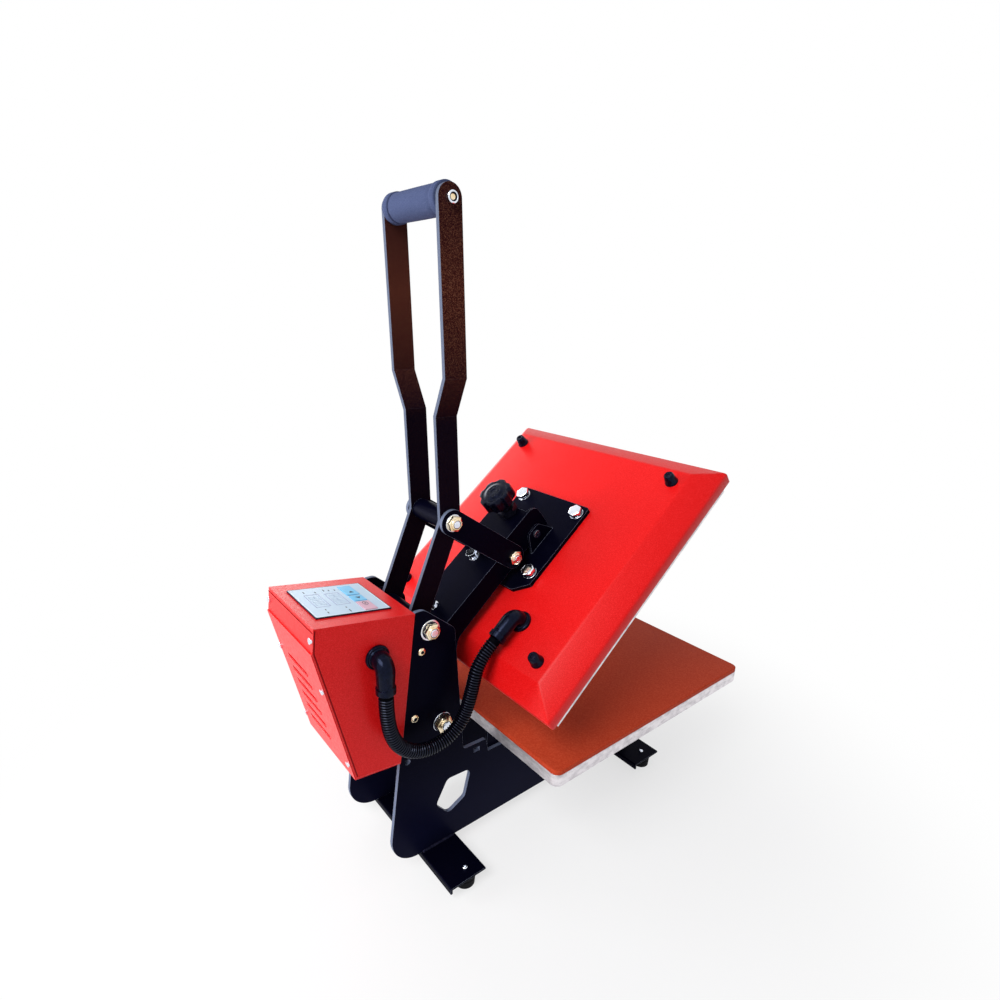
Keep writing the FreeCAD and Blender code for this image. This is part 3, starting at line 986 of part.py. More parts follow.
key_holes = [key_block("key_hole_", tag, -1, "panel_thick + 1", "key_gap") for tag in KEYS]
node(cut("display_panel", join("panel_whole", [panel_plate] + posts), key_holes), "display_panel")
for tag in KEYS:
    key = key_block("key_cap_", tag, "-board_drop + key_travel + side_gap", "panel_thick + key_rise", "0")
    node(key, "key_" + tag)
board = on_top("Part::Box", "board", "-%s - 4" % POST_X, POST_FROM + " - 4", "-board_drop - board_thick",
               Length="2 * %s + 8" % POST_X, Width="%s - %s + 8" % (POST_TO, POST_FROM), Height="board_thick")
node(board, "circuit_board")

# Relay and power supply, screwed to the inside of the box's front wall
FRONT_TILT = "atan(%s)" % LEAN
FRONT_WALL = spot(0, FRONT_LOW + " + box_wall * 1.2", "box_low", "rotation(vector(1;0;0);%s)" % FRONT_TILT)
for label, stem in (("power_relay", "relay"), ("power_supply", "supply")):
    block = doc.addObject("Part::Box", label + "_block")
    bind(block, Length=stem + "_wide", Width=stem + "_deep", Height=stem + "_high")
    place(block, FRONT_WALL + " * " + spot("%s_x - %s_wide / 2" % (stem, stem), 0, stem + "_up"))
    node(block, label)

# Mains inlet and power switch on the right-hand side of the box


def inlet_box(name, x, inset, length):
    """A block on the inlet's axis, smaller all round by an inset."""
    corner = (x, "%s - inlet_wide / 2 + %s" % (INLET_Y, inset), "inlet_z - inlet_high / 2 + %s" % inset)
    return box(name, corner, length, "inlet_wide - 2 * %s" % inset, "inlet_high - 2 * %s" % inset)


inlet_body = inlet_box("inlet_body", "box_half - inlet_deep", "fit", "inlet_deep")
inlet_rim = inlet_box("inlet_rim", "box_half", "(-inlet_flange)", "inlet_lip")
SOCKET_BOTTOM = "(box_half + inlet_lip - inlet_deep + 4)"
socket_hollow = inlet_box("socket_hollow", SOCKET_BOTTOM, "socket_wall", "inlet_deep")
socket = cut("socket_shell", join("inlet_whole", [inlet_body, inlet_rim]), [socket_hollow])
socket_pins = [box("socket_pin_%d" % i, (SOCKET_BOTTOM + " - 1",
                                         "%s + %d * 7 - socket_pin / 2" % (INLET_Y, i - 1),
                                         "inlet_z + %d - 1" % (3 if i == 1 else -2)),
                   "socket_pin_length + 1", "socket_pin", "socket_pin / 2") for i in range(3)]
node(join("mains_inlet", [socket] + socket_pins), "mains_inlet")

frame_body = box("switch_body", ("box_half - switch_deep", "switch_y - switch_wide / 2 + fit",
                                 "switch_z - switch_high / 2 + fit"), "switch_deep", "switch_wide - 2 * fit",
                 "switch_high - 2 * fit")
frame_rim = box("switch_rim", ("box_half", "switch_y - switch_wide / 2 - 2",
                               "switch_z - switch_high / 2 - 2"), 2, "switch_wide + 4", "switch_high + 4")
ROCKER_X = "(box_half - 3)"
rocker_well = box("rocker_well", (ROCKER_X + " - rocker_thick", "switch_y - rocker_wide / 2 - 0.5",
                                  "switch_z - rocker_high / 2 - 1.2"), "rocker_thick + 10",
                  "rocker_wide + 1", "rocker_high + 2.4")
axle = rod("rocker_axle", (ROCKER_X, "switch_y - rocker_wide / 2 - 0.5", "switch_z"), "axle_radius",
           "rocker_wide + 1", Y_AXIS)
switch_shell = cut("switch_shell", join("switch_whole", [frame_body, frame_rim]), [rocker_well])
node(join("switch_frame", [switch_shell, axle]), "switch_frame")
# The rocker rests with its upper half pressed in
rocker_slab = doc.addObject("Part::Wedge", "rocker_slab")
bind(rocker_slab, Xmin="-rocker_thick / 2", Xmax="rocker_thick / 2", Ymin=0, Ymax="rocker_wide",
     Zmin="-rocker_high / 2", Zmax="rocker_high / 2", X2min="-rocker_thick / 2", X2max="rocker_thick / 2",
     Z2min="-rocker_high / 2", Z2max="rocker_high / 2")
place(rocker_slab, spot(ROCKER_X, "switch_y - rocker_wide / 2", "switch_z",
                        "rotation(vector(0;1;0);-rocker_angle)"))
rocker_bore = rod("rocker_bore", (ROCKER_X, "switch_y - rocker_wide", "switch_z"), "axle_radius + fit",
                  "2 * rocker_wide", Y_AXIS)
node(cut("rocker", rocker_slab, [rocker_bore]), "rocker")

doc.recompute()
for thing in doc.Objects:
    if "Invalid" in thing.State or "Error" in thing.State:
        raise RuntimeError("%s failed: %s" % (thing.Name, thing.State))
labels = [thing.Label for thing in NODES]
if len(set(labels)) != len(labels):
    raise RuntimeError("two sub-parts share a name")
os.makedirs("parts", exist_ok=True)
for thing in NODES:
    shape = thing.Shape
    if shape.isNull() or not shape.isValid() or not shape.Solids:
        raise RuntimeError(thing.Label + " has no valid solid")
for thing in NODES:
    thing.Shape.exportStep("parts/%s.step" % thing.Label)
print("%d sub-parts" % len(NODES))
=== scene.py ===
# %% [markdown]
# This is a clamshell flat heat press, standing open: a red platen on a black arm, a long handle that
# folds with it, a heated plate above a silicone pad, and a control box on the tower behind. The packed
# solids already hold its plates, pivots and screws at their real size. Blender is used for what solids
# don't give: the finishes, the light, and the pieces whose form is soft, folded or finely turned.

import json
import math

import bpy
from mathutils import Matrix, Vector


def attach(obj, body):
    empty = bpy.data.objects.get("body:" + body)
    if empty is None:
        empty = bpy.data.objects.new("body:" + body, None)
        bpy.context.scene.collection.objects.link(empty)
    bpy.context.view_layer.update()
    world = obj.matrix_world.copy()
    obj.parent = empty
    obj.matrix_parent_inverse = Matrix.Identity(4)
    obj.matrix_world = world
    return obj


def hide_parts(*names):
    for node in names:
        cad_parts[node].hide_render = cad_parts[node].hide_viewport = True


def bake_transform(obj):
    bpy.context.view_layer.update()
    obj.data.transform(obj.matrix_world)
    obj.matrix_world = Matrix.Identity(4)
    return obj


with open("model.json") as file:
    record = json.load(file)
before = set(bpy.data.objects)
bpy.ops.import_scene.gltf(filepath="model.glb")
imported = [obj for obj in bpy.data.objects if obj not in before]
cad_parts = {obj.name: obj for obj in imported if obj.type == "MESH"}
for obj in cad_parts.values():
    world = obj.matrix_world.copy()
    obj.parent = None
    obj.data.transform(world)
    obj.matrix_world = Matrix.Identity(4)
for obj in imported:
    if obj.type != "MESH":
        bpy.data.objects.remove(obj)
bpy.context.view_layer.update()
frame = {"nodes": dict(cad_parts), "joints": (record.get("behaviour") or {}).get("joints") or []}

# %% [markdown]
# The machine's own zero is the middle of the pad's top face, and its sizes are millimetres. A helper
# turns such a place into a point of the scene, so every number below is one that a rule could measure.

# %% Places on the machine
MM = 0.001
TO_FRAME = Vector((0, -0.1135, 0.178))


def at(x, y, z):
    return Vector((x, y, z)) * MM + TO_FRAME


swing = next(joint for joint in frame["joints"] if joint["name"] == "arm_swing")
PIVOT = Vector(swing["pos_m"])
OPEN = math.radians(39.57)
print("the arm turns about", tuple(PIVOT), "and stands open by", round(math.degrees(OPEN), 2), "degrees")

# %% [markdown]
# Blender's operators work on whatever is selected, so each step begins with nothing selected. Faces,
# edges or points are then chosen by where they are and which way they look, as a hand would pick them.

# %% Choosing and finishing by hand


def clear():
    if bpy.context.mode != "OBJECT":
        bpy.ops.object.mode_set(mode="OBJECT")
    bpy.ops.object.select_all(action="DESELECT")


def hold(piece):
    clear()
    piece.select_set(True)
    bpy.context.view_layer.objects.active = piece


def named(name):
    piece = bpy.context.object
    piece.name = piece.data.name = name
    return piece


def choose(piece, test, kind="FACE"):
    """Opens the piece in edit mode with what passes the test selected."""
    hold(piece)
    mesh = piece.data
    for parts in (mesh.polygons, mesh.edges, mesh.vertices):
        parts.foreach_set("select", [False] * len(parts))
    bpy.context.tool_settings.mesh_select_mode = tuple(kind == k for k in ("VERT", "EDGE", "FACE"))
    if kind == "FACE":
        for face in mesh.polygons:
            face.select = bool(test(face.center, face.normal))
    elif kind == "EDGE":
        for edge in mesh.edges:
            a, b = (mesh.vertices[i].co for i in edge.vertices)
            edge.select = bool(test((a + b) / 2, (b - a).normalized()))
    else:
        for point in mesh.vertices:
            point.select = bool(test(point.co, point.normal))
    bpy.ops.object.mode_set(mode="EDIT")


def place(piece, base, axis=(0, 0, 1), turn=0.0):
    """Stands the piece on a point with its own Z along an axis, and leaves the object itself at rest."""
    hold(piece)
    look = Vector(axis).to_track_quat("Z", "Y").to_matrix().to_4x4()
    piece.matrix_world = Matrix.Translation(base) @ look @ Matrix.Rotation(turn, 4, "Z")
    bpy.ops.object.transform_apply(location=True, rotation=True, scale=True)
    return piece


def lifted(piece):
    """Carries a piece drawn on the lowered platen up to the open arm."""
    hold(piece)
    turn = Matrix.Rotation(-OPEN, 4, "X")
    piece.matrix_world = Matrix.Translation(PIVOT) @ turn @ Matrix.Translation(-PIVOT)
    bpy.ops.object.transform_apply(location=True, rotation=True, scale=True)
    return piece


def soften(piece, width, steps=3, angle=35):
    """Rounds the sharp edges and lets the flat faces stay flat."""
    hold(piece)
    bevel = piece.modifiers.new("edges", "BEVEL")
    bevel.width, bevel.segments = width * MM, steps
    bevel.limit_method, bevel.angle_limit = "ANGLE", math.radians(angle)
    bpy.ops.object.modifier_apply(modifier=bevel.name)
    bpy.ops.object.shade_smooth_by_angle(angle=math.radians(angle))
    return piece


def joined(name, pieces):
    clear()
    for piece in pieces:
        piece.select_set(True)
    bpy.context.view_layer.objects.active = pieces[0]
    bpy.ops.object.join()
    return named(name)


def again(piece):
    """A copy of a piece, with a mesh of its own."""
    hold(piece)
    bpy.ops.object.duplicate(linked=False)
    return named(piece.name)


def coated(piece, material):
    piece.data.materials.append(material)
    return piece


def measured(piece):
    """Width, depth and height of a piece's mesh, in millimetres."""
    spots = [point.co for point in piece.data.vertices]
    return tuple(round((max(s[k] for s in spots) - min(s[k] for s in spots)) / MM, 1) for k in range(3))


print("tools for hand work:", [tool.__name__ for tool in (choose, place, lifted, soften, joined, again)])

# %% [markdown]
# Three starts serve nearly every new piece: a block, a turned piece and a six-sided head. The turned
# piece is drawn as one line of corners and spun, the way a lathe makes a knob, a washer or a bumper. A
# curve with the screw modifier would do it too, but a spun line is a plain mesh from the first.

# %% Block, turned piece and hex head


def block(name, low, high):
    clear()
    bpy.ops.mesh.primitive_cube_add(size=1, location=(low + high) / 2)
    piece = named(name)
    piece.scale = high - low
    bpy.ops.object.transform_apply(location=True, rotation=True, scale=True)
    return piece


def turned(name, line, steps=48, smooth=35):
    """The line's corners are (radius, height) in millimetres, spun about Z."""
    clear()
    bpy.ops.mesh.primitive_plane_add(size=1)
    piece = named(name)
    bpy.ops.object.mode_set(mode="EDIT")
    bpy.ops.mesh.select_mode(type="VERT")
    bpy.ops.mesh.select_all(action="SELECT")
    bpy.ops.mesh.merge(type="CENTER")
    bpy.ops.transform.translate(value=(line[0][0] * MM, 0, line[0][1] * MM))
    for (r0, h0), (r1, h1) in zip(line, line[1:]):
        step = ((r1 - r0) * MM, 0, (h1 - h0) * MM)
        bpy.ops.mesh.extrude_region_move(TRANSFORM_OT_translate={"value": step})
    bpy.ops.mesh.select_all(action="SELECT")
    bpy.ops.mesh.spin(steps=steps, angle=math.tau, center=(0, 0, 0), axis=(0, 0, 1))
    bpy.ops.mesh.select_all(action="SELECT")
    bpy.ops.mesh.remove_doubles(threshold=1e-6)
    bpy.ops.mesh.normals_make_consistent(inside=False)
    bpy.ops.object.mode_set(mode="OBJECT")
    bpy.ops.object.shade_smooth_by_angle(angle=math.radians(smooth))
    return piece


def hex_head(name, across, high, base=0.0):
    """A hex with the small chamfered crown that wrenches leave bright."""
    clear()
    crown = high * 0.12
    bpy.ops.mesh.primitive_cylinder_add(vertices=6, radius=across / math.sqrt(3) * MM,
                                        depth=(high - crown) * MM,
                                        location=(0, 0, (base + (high - crown) / 2) * MM))
    piece = named(name)
    bpy.ops.object.transform_apply(location=True, rotation=True, scale=True)
    choose(piece, lambda spot, way: way.z > 0.9)
    bpy.ops.mesh.inset(thickness=across * 0.1 * MM, depth=crown * MM)
    bpy.ops.object.mode_set(mode="OBJECT")
    return soften(piece, 0.35, 2, 20)


print("starts:", [start.__name__ for start in (block, turned, hex_head)])

# %% [markdown]
# Every finish is a Principled shader with its grain driven by the piece's own coordinates, so that it
# stays on the metal when the arm moves. Pictures of metal could be laid on instead, but noise needs no
# files, shows no seams and keeps its real size on every piece.

# %% Tools for the finishes


def finish(name, colour, rough, metal=0.0, specular=0.5, tint=(1, 1, 1)):
    material = bpy.data.materials.new(name)
    material.use_nodes = True
    shader = material.node_tree.nodes["Principled BSDF"]
    shader.inputs["Base Color"].default_value = (*colour, 1)
    shader.inputs["Roughness"].default_value = rough
    shader.inputs["Metallic"].default_value = metal
    shader.inputs["Specular IOR Level"].default_value = specular
    shader.inputs["Specular Tint"].default_value = (*tint, 1)
    return material


def grain(material, scale, detail=2.0, stretch=(1, 1, 1), rough=0.5):
    """Noise of a given number of grains to the metre."""
    tree = material.node_tree
    spot = tree.nodes.new("ShaderNodeTexCoord")
    shape = tree.nodes.new("ShaderNodeMapping")
    shape.inputs["Scale"].default_value = stretch
    noise = tree.nodes.new("ShaderNodeTexNoise")
    noise.inputs["Scale"].default_value = scale
    noise.inputs["Detail"].default_value = detail
    noise.inputs["Roughness"].default_value = rough
    tree.links.new(spot.outputs["Object"], shape.inputs["Vector"])
    tree.links.new(shape.outputs["Vector"], noise.inputs["Vector"])
    return noise.outputs["Fac"]


def shades(material, factor, stops):
    """Turns a factor into a colour, or a grey, through a few stops."""
    ramp = material.node_tree.nodes.new("ShaderNodeValToRGB")
    band = ramp.color_ramp
    while len(band.elements) < len(stops):
        band.elements.new(0.5)
    for stop, (where, colour) in zip(band.elements, stops):
        stop.position = where
        stop.color = (*colour, 1) if isinstance(colour, tuple) else (colour, colour, colour, 1)
    material.node_tree.links.new(factor, ramp.inputs["Fac"])
    return ramp.outputs["Color"]


def drive(material, socket, source):
    shader = material.node_tree.nodes["Principled BSDF"]
    material.node_tree.links.new(source, shader.inputs[socket])


def relief(material, height, deep, strength, rounding=0.0):
    """A bump in millimetres, over edges rounded by the shader where a radius is given."""
    tree = material.node_tree
    bump = tree.nodes.new("ShaderNodeBump")
    bump.inputs["Distance"].default_value = deep * MM
    bump.inputs["Strength"].default_value = strength
    tree.links.new(height, bump.inputs["Height"])
    if rounding:
        edge = tree.nodes.new("ShaderNodeBevel")
        edge.samples = 6
        edge.inputs["Radius"].default_value = rounding * MM
        tree.links.new(edge.outputs["Normal"], bump.inputs["Normal"])
    drive(material, "Normal", bump.outputs["Normal"])


print("finish tools:", [tool.__name__ for tool in (finish, grain, shades, drive, relief)])

# %% [markdown]
# Powder coat is sprayed dust melted on the metal. Close up it is orange peel with tiny lighter and
# darker grains. The red is satin and warm, and the black nearly swallows the light. On a sharp edge the
# melted coat draws thin and pale, and the pale colour given to the edges is also a painted highlight:
# the light that rounded edges catch. Such edges could be picked out by hand, but here a rounded normal
# is compared with the true one, which finds every edge by itself.

# %% Powder coats


def edge_mask(material, radius):
    """1 along sharp edges and 0 on flat faces."""
    tree = material.node_tree
    rounded = tree.nodes.new("ShaderNodeBevel")
    rounded.samples = 6
    rounded.inputs["Radius"].default_value = radius * MM
    true = tree.nodes.new("ShaderNodeNewGeometry")
    match = tree.nodes.new("ShaderNodeVectorMath")
    match.operation = "DOT_PRODUCT"
    span = tree.nodes.new("ShaderNodeMapRange")
    span.inputs["From Min"].default_value, span.inputs["From Max"].default_value = 0.995, 0.80
    tree.links.new(rounded.outputs["Normal"], match.inputs[0])
    tree.links.new(true.outputs["True Normal"], match.inputs[1])
    tree.links.new(match.outputs["Value"], span.inputs["Value"])
    return span.outputs["Result"]


def blend_colours(material, factor, first, second):
    """One colour over another by a factor."""
    tree = material.node_tree
    mix = tree.nodes.new("ShaderNodeMix")
    mix.data_type = "RGBA"
    tree.links.new(factor, mix.inputs["Factor"])
    for socket, colour in ((mix.inputs["A"], first), (mix.inputs["B"], second)):
        if isinstance(colour, tuple):
            socket.default_value = (*colour, 1)
        else:
            tree.links.new(colour, socket)
    return mix.outputs["Result"]


def powder(name, dark, middle, light, edge_wear_and_highlight, rough, specular, tint=(1, 1, 1)):
    coat = finish(name, middle, rough, specular=specular, tint=tint)
    speck = grain(coat, 1100, 3, rough=0.7)
    body = shades(coat, speck, [(0.34, dark), (0.5, middle), (0.68, light)])
    # The edges get the pale colour: part thin coat, part painted highlight.
    drive(coat, "Base Color", blend_colours(coat, edge_mask(coat, 0.5), body, edge_wear_and_highlight))
    drive(coat, "Roughness", shades(coat, grain(coat, 300, 2), [(0.3, rough - 0.05), (0.7, rough + 0.06)]))
    relief(coat, grain(coat, 620, 2), 0.25, 0.16, rounding=0.7)
    return coat


# The fourth colour of each coat is its pale edge, part thin coat and part painted highlight.
FINISH = {}
FINISH["red_powder"] = powder("red powder coat", (0.66, 0.002, 0.002), (0.78, 0.004, 0.004),
                              (0.88, 0.030, 0.034), (0.97, 0.20, 0.21), 0.34, 0.18)
# Painted reflection: the blacks' blue cast, in their base colours and in the specular tint, stands in for a
# bluish reflection of the surroundings.
BLACK = ((0.0004, 0.0004, 0.0026), (0.0010, 0.0010, 0.0055), (0.003, 0.003, 0.011))
BLUE_SHEEN_TINT = (0.25, 0.25, 0.85)
FINISH["black_powder"] = powder("black powder coat", *BLACK, (0.30, 0.34, 0.46), 0.34, 0.028, BLUE_SHEEN_TINT)
print("powder coats:", FINISH["red_powder"].name, FINISH["black_powder"].name)

# %% [markdown]
# The plates and bars were cut from thick sheet, and their narrow cut faces catch the light from behind.
# That highlight is painted: the cut faces get a pale blue grey colour, so they show as pale lines along
# the black. All those plates stand across X, so a face that doesn't look along X is a cut one.

# %% Cut faces with a painted highlight


# Gives every face that doesn't look along X a pale colour, as a painted highlight.
def cut_face_sheen(material, colour):
    tree = material.node_tree
    spot = tree.nodes.new("ShaderNodeTexCoord")
    way = tree.nodes.new("ShaderNodeSeparateXYZ")
    sideways = tree.nodes.new("ShaderNodeMath")
    sideways.operation = "ABSOLUTE"
    span = tree.nodes.new("ShaderNodeMapRange")
    span.inputs["From Min"].default_value, span.inputs["From Max"].default_value = 0.6, 0.4
    tree.links.new(spot.outputs["Normal"], way.inputs["Vector"])
    tree.links.new(way.outputs["X"], sideways.inputs[0])
    tree.links.new(sideways.outputs["Value"], span.inputs["Value"])
    coat = tree.nodes["Principled BSDF"].inputs["Base Color"].links[0].from_socket
    drive(material, "Base Color", blend_colours(material, span.outputs["Result"], coat, colour))


def by_height(material, low, high):
    """0 at one height of the machine and 1 at another, in the piece's own coordinates."""
    tree = material.node_tree
    height = tree.nodes.new("ShaderNodeSeparateXYZ")
    spot = tree.nodes.new("ShaderNodeTexCoord")
    rise = tree.nodes.new("ShaderNodeMapRange")
    rise.inputs["From Min"].default_value = at(0, 0, low).z
    rise.inputs["From Max"].default_value = at(0, 0, high).z
    tree.links.new(spot.outputs["Object"], height.inputs["Vector"])
    tree.links.new(height.outputs["Z"], rise.inputs["Value"])
    return rise.outputs["Result"]


def under_edge_wear_and_highlight(material, factor, colour):
    """Lays a colour over the coat's body by a factor, and leaves its pale edges, part wear and part painted
    highlight, on top.
    """
    edges = material.node_tree.nodes["Principled BSDF"].inputs["Base Color"].links[0].from_node
    body = edges.inputs["A"].links[0].from_socket
    material.node_tree.links.new(blend_colours(material, factor, body, colour), edges.inputs["A"])


plate_coat = powder("plate powder coat", *BLACK, (0.38, 0.42, 0.55), 0.34, 0.028, BLUE_SHEEN_TINT)
# Painted reflection: towards the bottom the plates turn a lighter navy, standing in for the floor's
# reflection in their gloss.
under_edge_wear_and_highlight(plate_coat, by_height(plate_coat, -10, -130), (0.0045, 0.0050, 0.0190))
cut_face_sheen(plate_coat, (0.13, 0.155, 0.23))
print("cut faces on:", plate_coat.name)

# %% [markdown]
# The handle bars are black below, and above their bend they carry a painted warm reflection: a deep
# brown with bronze coloured grains, mixed in by the height of the point. The brown is strongest halfway
# up the bars.

# %% Handle coat with a painted warm reflection
# The bars' purple specular tint is painted reflection too.
bar_coat = powder("handle powder coat", *BLACK, (0.34, 0.33, 0.42), 0.36, 0.020, (0.5, 0.35, 0.6))
# Painted warm reflection: a brown with grains, laid over the black by height.
brown = shades(bar_coat, by_height(bar_coat, 380, 610), [(0.0, 0.05), (0.22, 0.45), (0.60, 1.0), (0.96, 0.5)])
warm_sheen = shades(bar_coat, grain(bar_coat, 1300, 3, rough=0.75), [
    (0.38, (0.018, 0.002, 0.003)), (0.52, (0.075, 0.013, 0.010)), (0.64, (0.30, 0.13, 0.07))])
under_edge_wear_and_highlight(bar_coat, brown, warm_sheen)
cut_face_sheen(bar_coat, (0.11, 0.13, 0.19))
print("painted warm reflection on:", bar_coat.name)

# %% [markdown]
# The bright parts are zinc plated steel and rough sawn or cast aluminium. One even roughness would
# look like chrome, but zinc is cloudy, so its roughness drifts in patches. The passivated nuts are a
# little yellow.

# %% Bare metals


def plated(name, colour, cloud, rough):
    metal = finish(name, colour, rough, metal=1.0)
    patches = grain(metal, 90, 3)
    drive(metal, "Base Color", shades(metal, patches, [(0.35, cloud), (0.62, colour)]))
    drive(metal, "Roughness", shades(metal, patches, [(0.3, rough + 0.08), (0.7, rough - 0.04)]))
    relief(metal, grain(metal, 1500, 2), 0.03, 0.10, rounding=0.3)
    return metal


FINISH["zinc"] = plated("bright zinc", (0.84, 0.88, 0.96), (0.68, 0.73, 0.83), 0.17)
yellow_zinc = plated("yellow zinc", (0.90, 0.80, 0.62), (0.84, 0.64, 0.36), 0.19)

cast = finish("cast aluminium", (0.76, 0.72, 0.75), 0.42, metal=0.85)
mottle = grain(cast, 70, 5, stretch=(1, 1, 2.4), rough=0.65)
drive(cast, "Base Color", shades(cast, mottle, [(0.32, (0.52, 0.49, 0.52)), (0.6, (0.83, 0.79, 0.82))]))
relief(cast, grain(cast, 420, 3, rough=0.7), 0.25, 0.35, rounding=0.5)
FINISH["aluminium"] = cast

blued = finish("black oxide", (0.004, 0.004, 0.007), 0.34, specular=0.20, tint=BLUE_SHEEN_TINT)
drive(blued, "Base Color", shades(blued, grain(blued, 240, 3), [
    (0.35, (0.002, 0.002, 0.005)), (0.68, (0.016, 0.016, 0.028))]))
relief(blued, grain(blued, 900, 2), 0.04, 0.15, rounding=0.4)
print("metals:", [metal.name for metal in (FINISH["zinc"], yellow_zinc, cast, blued)])

# %% [markdown]
# Soft goods and mouldings: an orange brown silicone sheet with a faint pebble, blue grey foam with
# open pores, glossy black plastics, foot rubber, a fibrous insulation blanket and a circuit board. They
# differ in colour, in gloss and in the size of their grain, so one recipe with a few numbers makes all.

# %% Rubber, foam and plastics


def moulded(name, colour, light, rough, specular, scale, deep, rounding=0.4, strength=0.3, tint=(1, 1, 1)):
    soft = finish(name, colour, rough, specular=specular, tint=tint)
    pebble = grain(soft, scale, 3, rough=0.6)
    drive(soft, "Base Color", shades(soft, pebble, [(0.4, colour), (0.68, light)]))
    relief(soft, pebble, deep, strength, rounding)
    return soft


FINISH["silicone"] = moulded("silicone sheet", (0.48, 0.042, 0.012), (0.57, 0.068, 0.024),
                             0.55, 0.10, 520, 0.25)
FINISH["rubber"] = moulded("foot rubber", (0.004, 0.004, 0.006), (0.012, 0.012, 0.014), 0.75, 0.1, 700, 0.2)
FINISH["foam"] = moulded("grip foam", (0.046, 0.061, 0.132), (0.074, 0.094, 0.185),
                         0.85, 0.08, 1100, 0.5, 0.3, 0.6)
# The blue specular tints of the black plastics are painted reflection, a bluish cast on their highlights.
FINISH["black_plastic"] = moulded("conduit plastic", (0.0008, 0.0008, 0.0025), (0.003, 0.003, 0.008),
                                  0.26, 0.22, 420, 0.06, tint=(0.6, 0.65, 1.0))
conduit = moulded("conduit ribs", (0.0010, 0.0012, 0.0050), (0.003, 0.003, 0.010), 0.13, 0.34, 420, 0.03,
                  tint=(0.60, 0.68, 1.0))
# Painted shade: the valleys are darker and duller than the crests, as shade in the grooves.
valley_shade_finish = moulded("conduit valleys", (0.0004, 0.0004, 0.0012), (0.001, 0.001, 0.003),
                         0.6, 0.02, 420, 0.03)
FINISH["gloss_black"] = moulded("knob plastic", (0.0010, 0.0012, 0.0045), (0.003, 0.004, 0.013), 0.20, 0.18,
                                260, 0.04, tint=(0.45, 0.55, 1.0))
FINISH["blanket"] = moulded("insulation fibre", (0.62, 0.58, 0.47), (0.80, 0.77, 0.68),
                            0.95, 0.1, 260, 1.2, 0.5, 0.8)
FINISH["circuit"] = moulded("circuit board", (0.01, 0.12, 0.05), (0.02, 0.2, 0.08), 0.4, 0.5, 900, 0.05)
print("soft and moulded finishes:", len(FINISH))

# %% [markdown]
# The panel is a printed film: a pale blue sheet with darker windows and coloured keys, all under a
# matt skin with a very fine texture.

# %% Printed film


def film(name, colour, light, rough=0.30):
    ink = finish(name, colour, rough, specular=0.12)
    cloud = grain(ink, 60, 2)
    drive(ink, "Base Color", shades(ink, cloud, [(0.3, colour), (0.7, light)]))
    relief(ink, grain(ink, 1600, 2), 0.03, 0.12, rounding=0.2)
    return ink


FINISH["panel_film"] = film("panel film", (0.52, 0.67, 0.82), (0.57, 0.72, 0.86))
FINISH["key_blue"] = film("blue key print", (0.18, 0.56, 0.88), (0.21, 0.61, 0.92))
FINISH["key_pink"] = film("pink key print", (0.70, 0.42, 0.53), (0.74, 0.46, 0.57))
window_print = film("window print", (0.36, 0.42, 0.62), (0.40, 0.46, 0.66))
pale_print = film("pale border print", (0.72, 0.84, 0.94), (0.76, 0.88, 0.97))
ghost_print = film("ghost digit print", (0.48, 0.60, 0.77), (0.50, 0.63, 0.80))
# Painted shade: a dark red for the box's seams, where the narrow gaps lie in shade.
seam_shade = finish("seam shadow", (0.16, 0.002, 0.004), 0.5, specular=0.05)
drive(seam_shade, "Base Color", shades(seam_shade, grain(seam_shade, 300, 2), [
    (0.3, (0.13, 0.001, 0.003)), (0.7, (0.19, 0.003, 0.006))]))
dark_print = film("dark print", (0.006, 0.012, 0.03), (0.012, 0.02, 0.045))
print("film prints:", FINISH["panel_film"].name, window_print.name, dark_print.name)

# %% [markdown]
# The solids keep their own meshes and only change their material. Each one carries the name of the
# slot it was given, which picks the finish; a few pieces are then told apart one by one.

# %% Finishes on the solids
for solid in frame["nodes"].values():
    slot = solid.material_slots[0]
    slot.material = FINISH[slot.material.name]
CUT_PLATES = ("side_plate_left", "side_plate_right", "link_plate_left", "link_plate_right")
for special, names in ((bar_coat, ("handle_bar_left", "handle_bar_right")), (plate_coat, CUT_PLATES),
                       (blued, ("pressure_screw", "lock_nut"))):
    for name in names:
        frame["nodes"][name].material_slots[0].material = special
print("solids with a finish:", len(frame["nodes"]))

# %% [markdown]
# The hose carries the heater's wires from the control box to the platen. It is a corrugated conduit,
# so it keeps its length and bends in one easy curve. Its route is drawn first as a smooth spline
# through a few chosen points, and rings of alternating size are then set along that line.

# %% Hose route
ROUTE = [(-80, 345, 106), (-80, 345, 74), (-81, 336.8, 41), (-82, 317.3, 20.9), (-83.5, 291.4, 13.4),
         (-85, 265.2, 20), (-86, 245, 39.4), (-87, 235, 74), (-87, 227.4, 106.5), (-87, 202.75, 126.9)]


def centre_line(points, steps=24):
    """The points of a smooth spline, read from a curve that has no thickness."""
    curve = bpy.data.curves.new("route", "CURVE")
    curve.dimensions = "3D"
    line = curve.splines.new("NURBS")
    line.points.add(len(points) - 1)
    for knot, spot in zip(line.points, points):
        knot.co = (*at(*spot), 1)
    line.order_u = 3
    line.use_endpoint_u = True
    line.resolution_u = steps
    path = bpy.data.objects.new("route", curve)
    bpy.context.scene.collection.objects.link(path)
    mesh = bpy.data.meshes.new_from_object(path)
    spots = [v.co.copy() for v in mesh.vertices]
    bpy.data.objects.remove(path)
    return spots


hose_line = centre_line(ROUTE)
hose_length = sum((b - a).length for a, b in zip(hose_line, hose_line[1:]))
print("hose length, mm:", round(hose_length / MM))

# %% [markdown]
# One rib is six rings of different radius. An array of ribs bent along a curve would stretch on the
# outside of the bend, so each ring is set square to the line at its own distance. The crests are glossy,
# which shows on a real conduit as a row of thin bright lines, and the valleys are painted darker and
# duller as shade in the grooves.

# %% Hose ribs


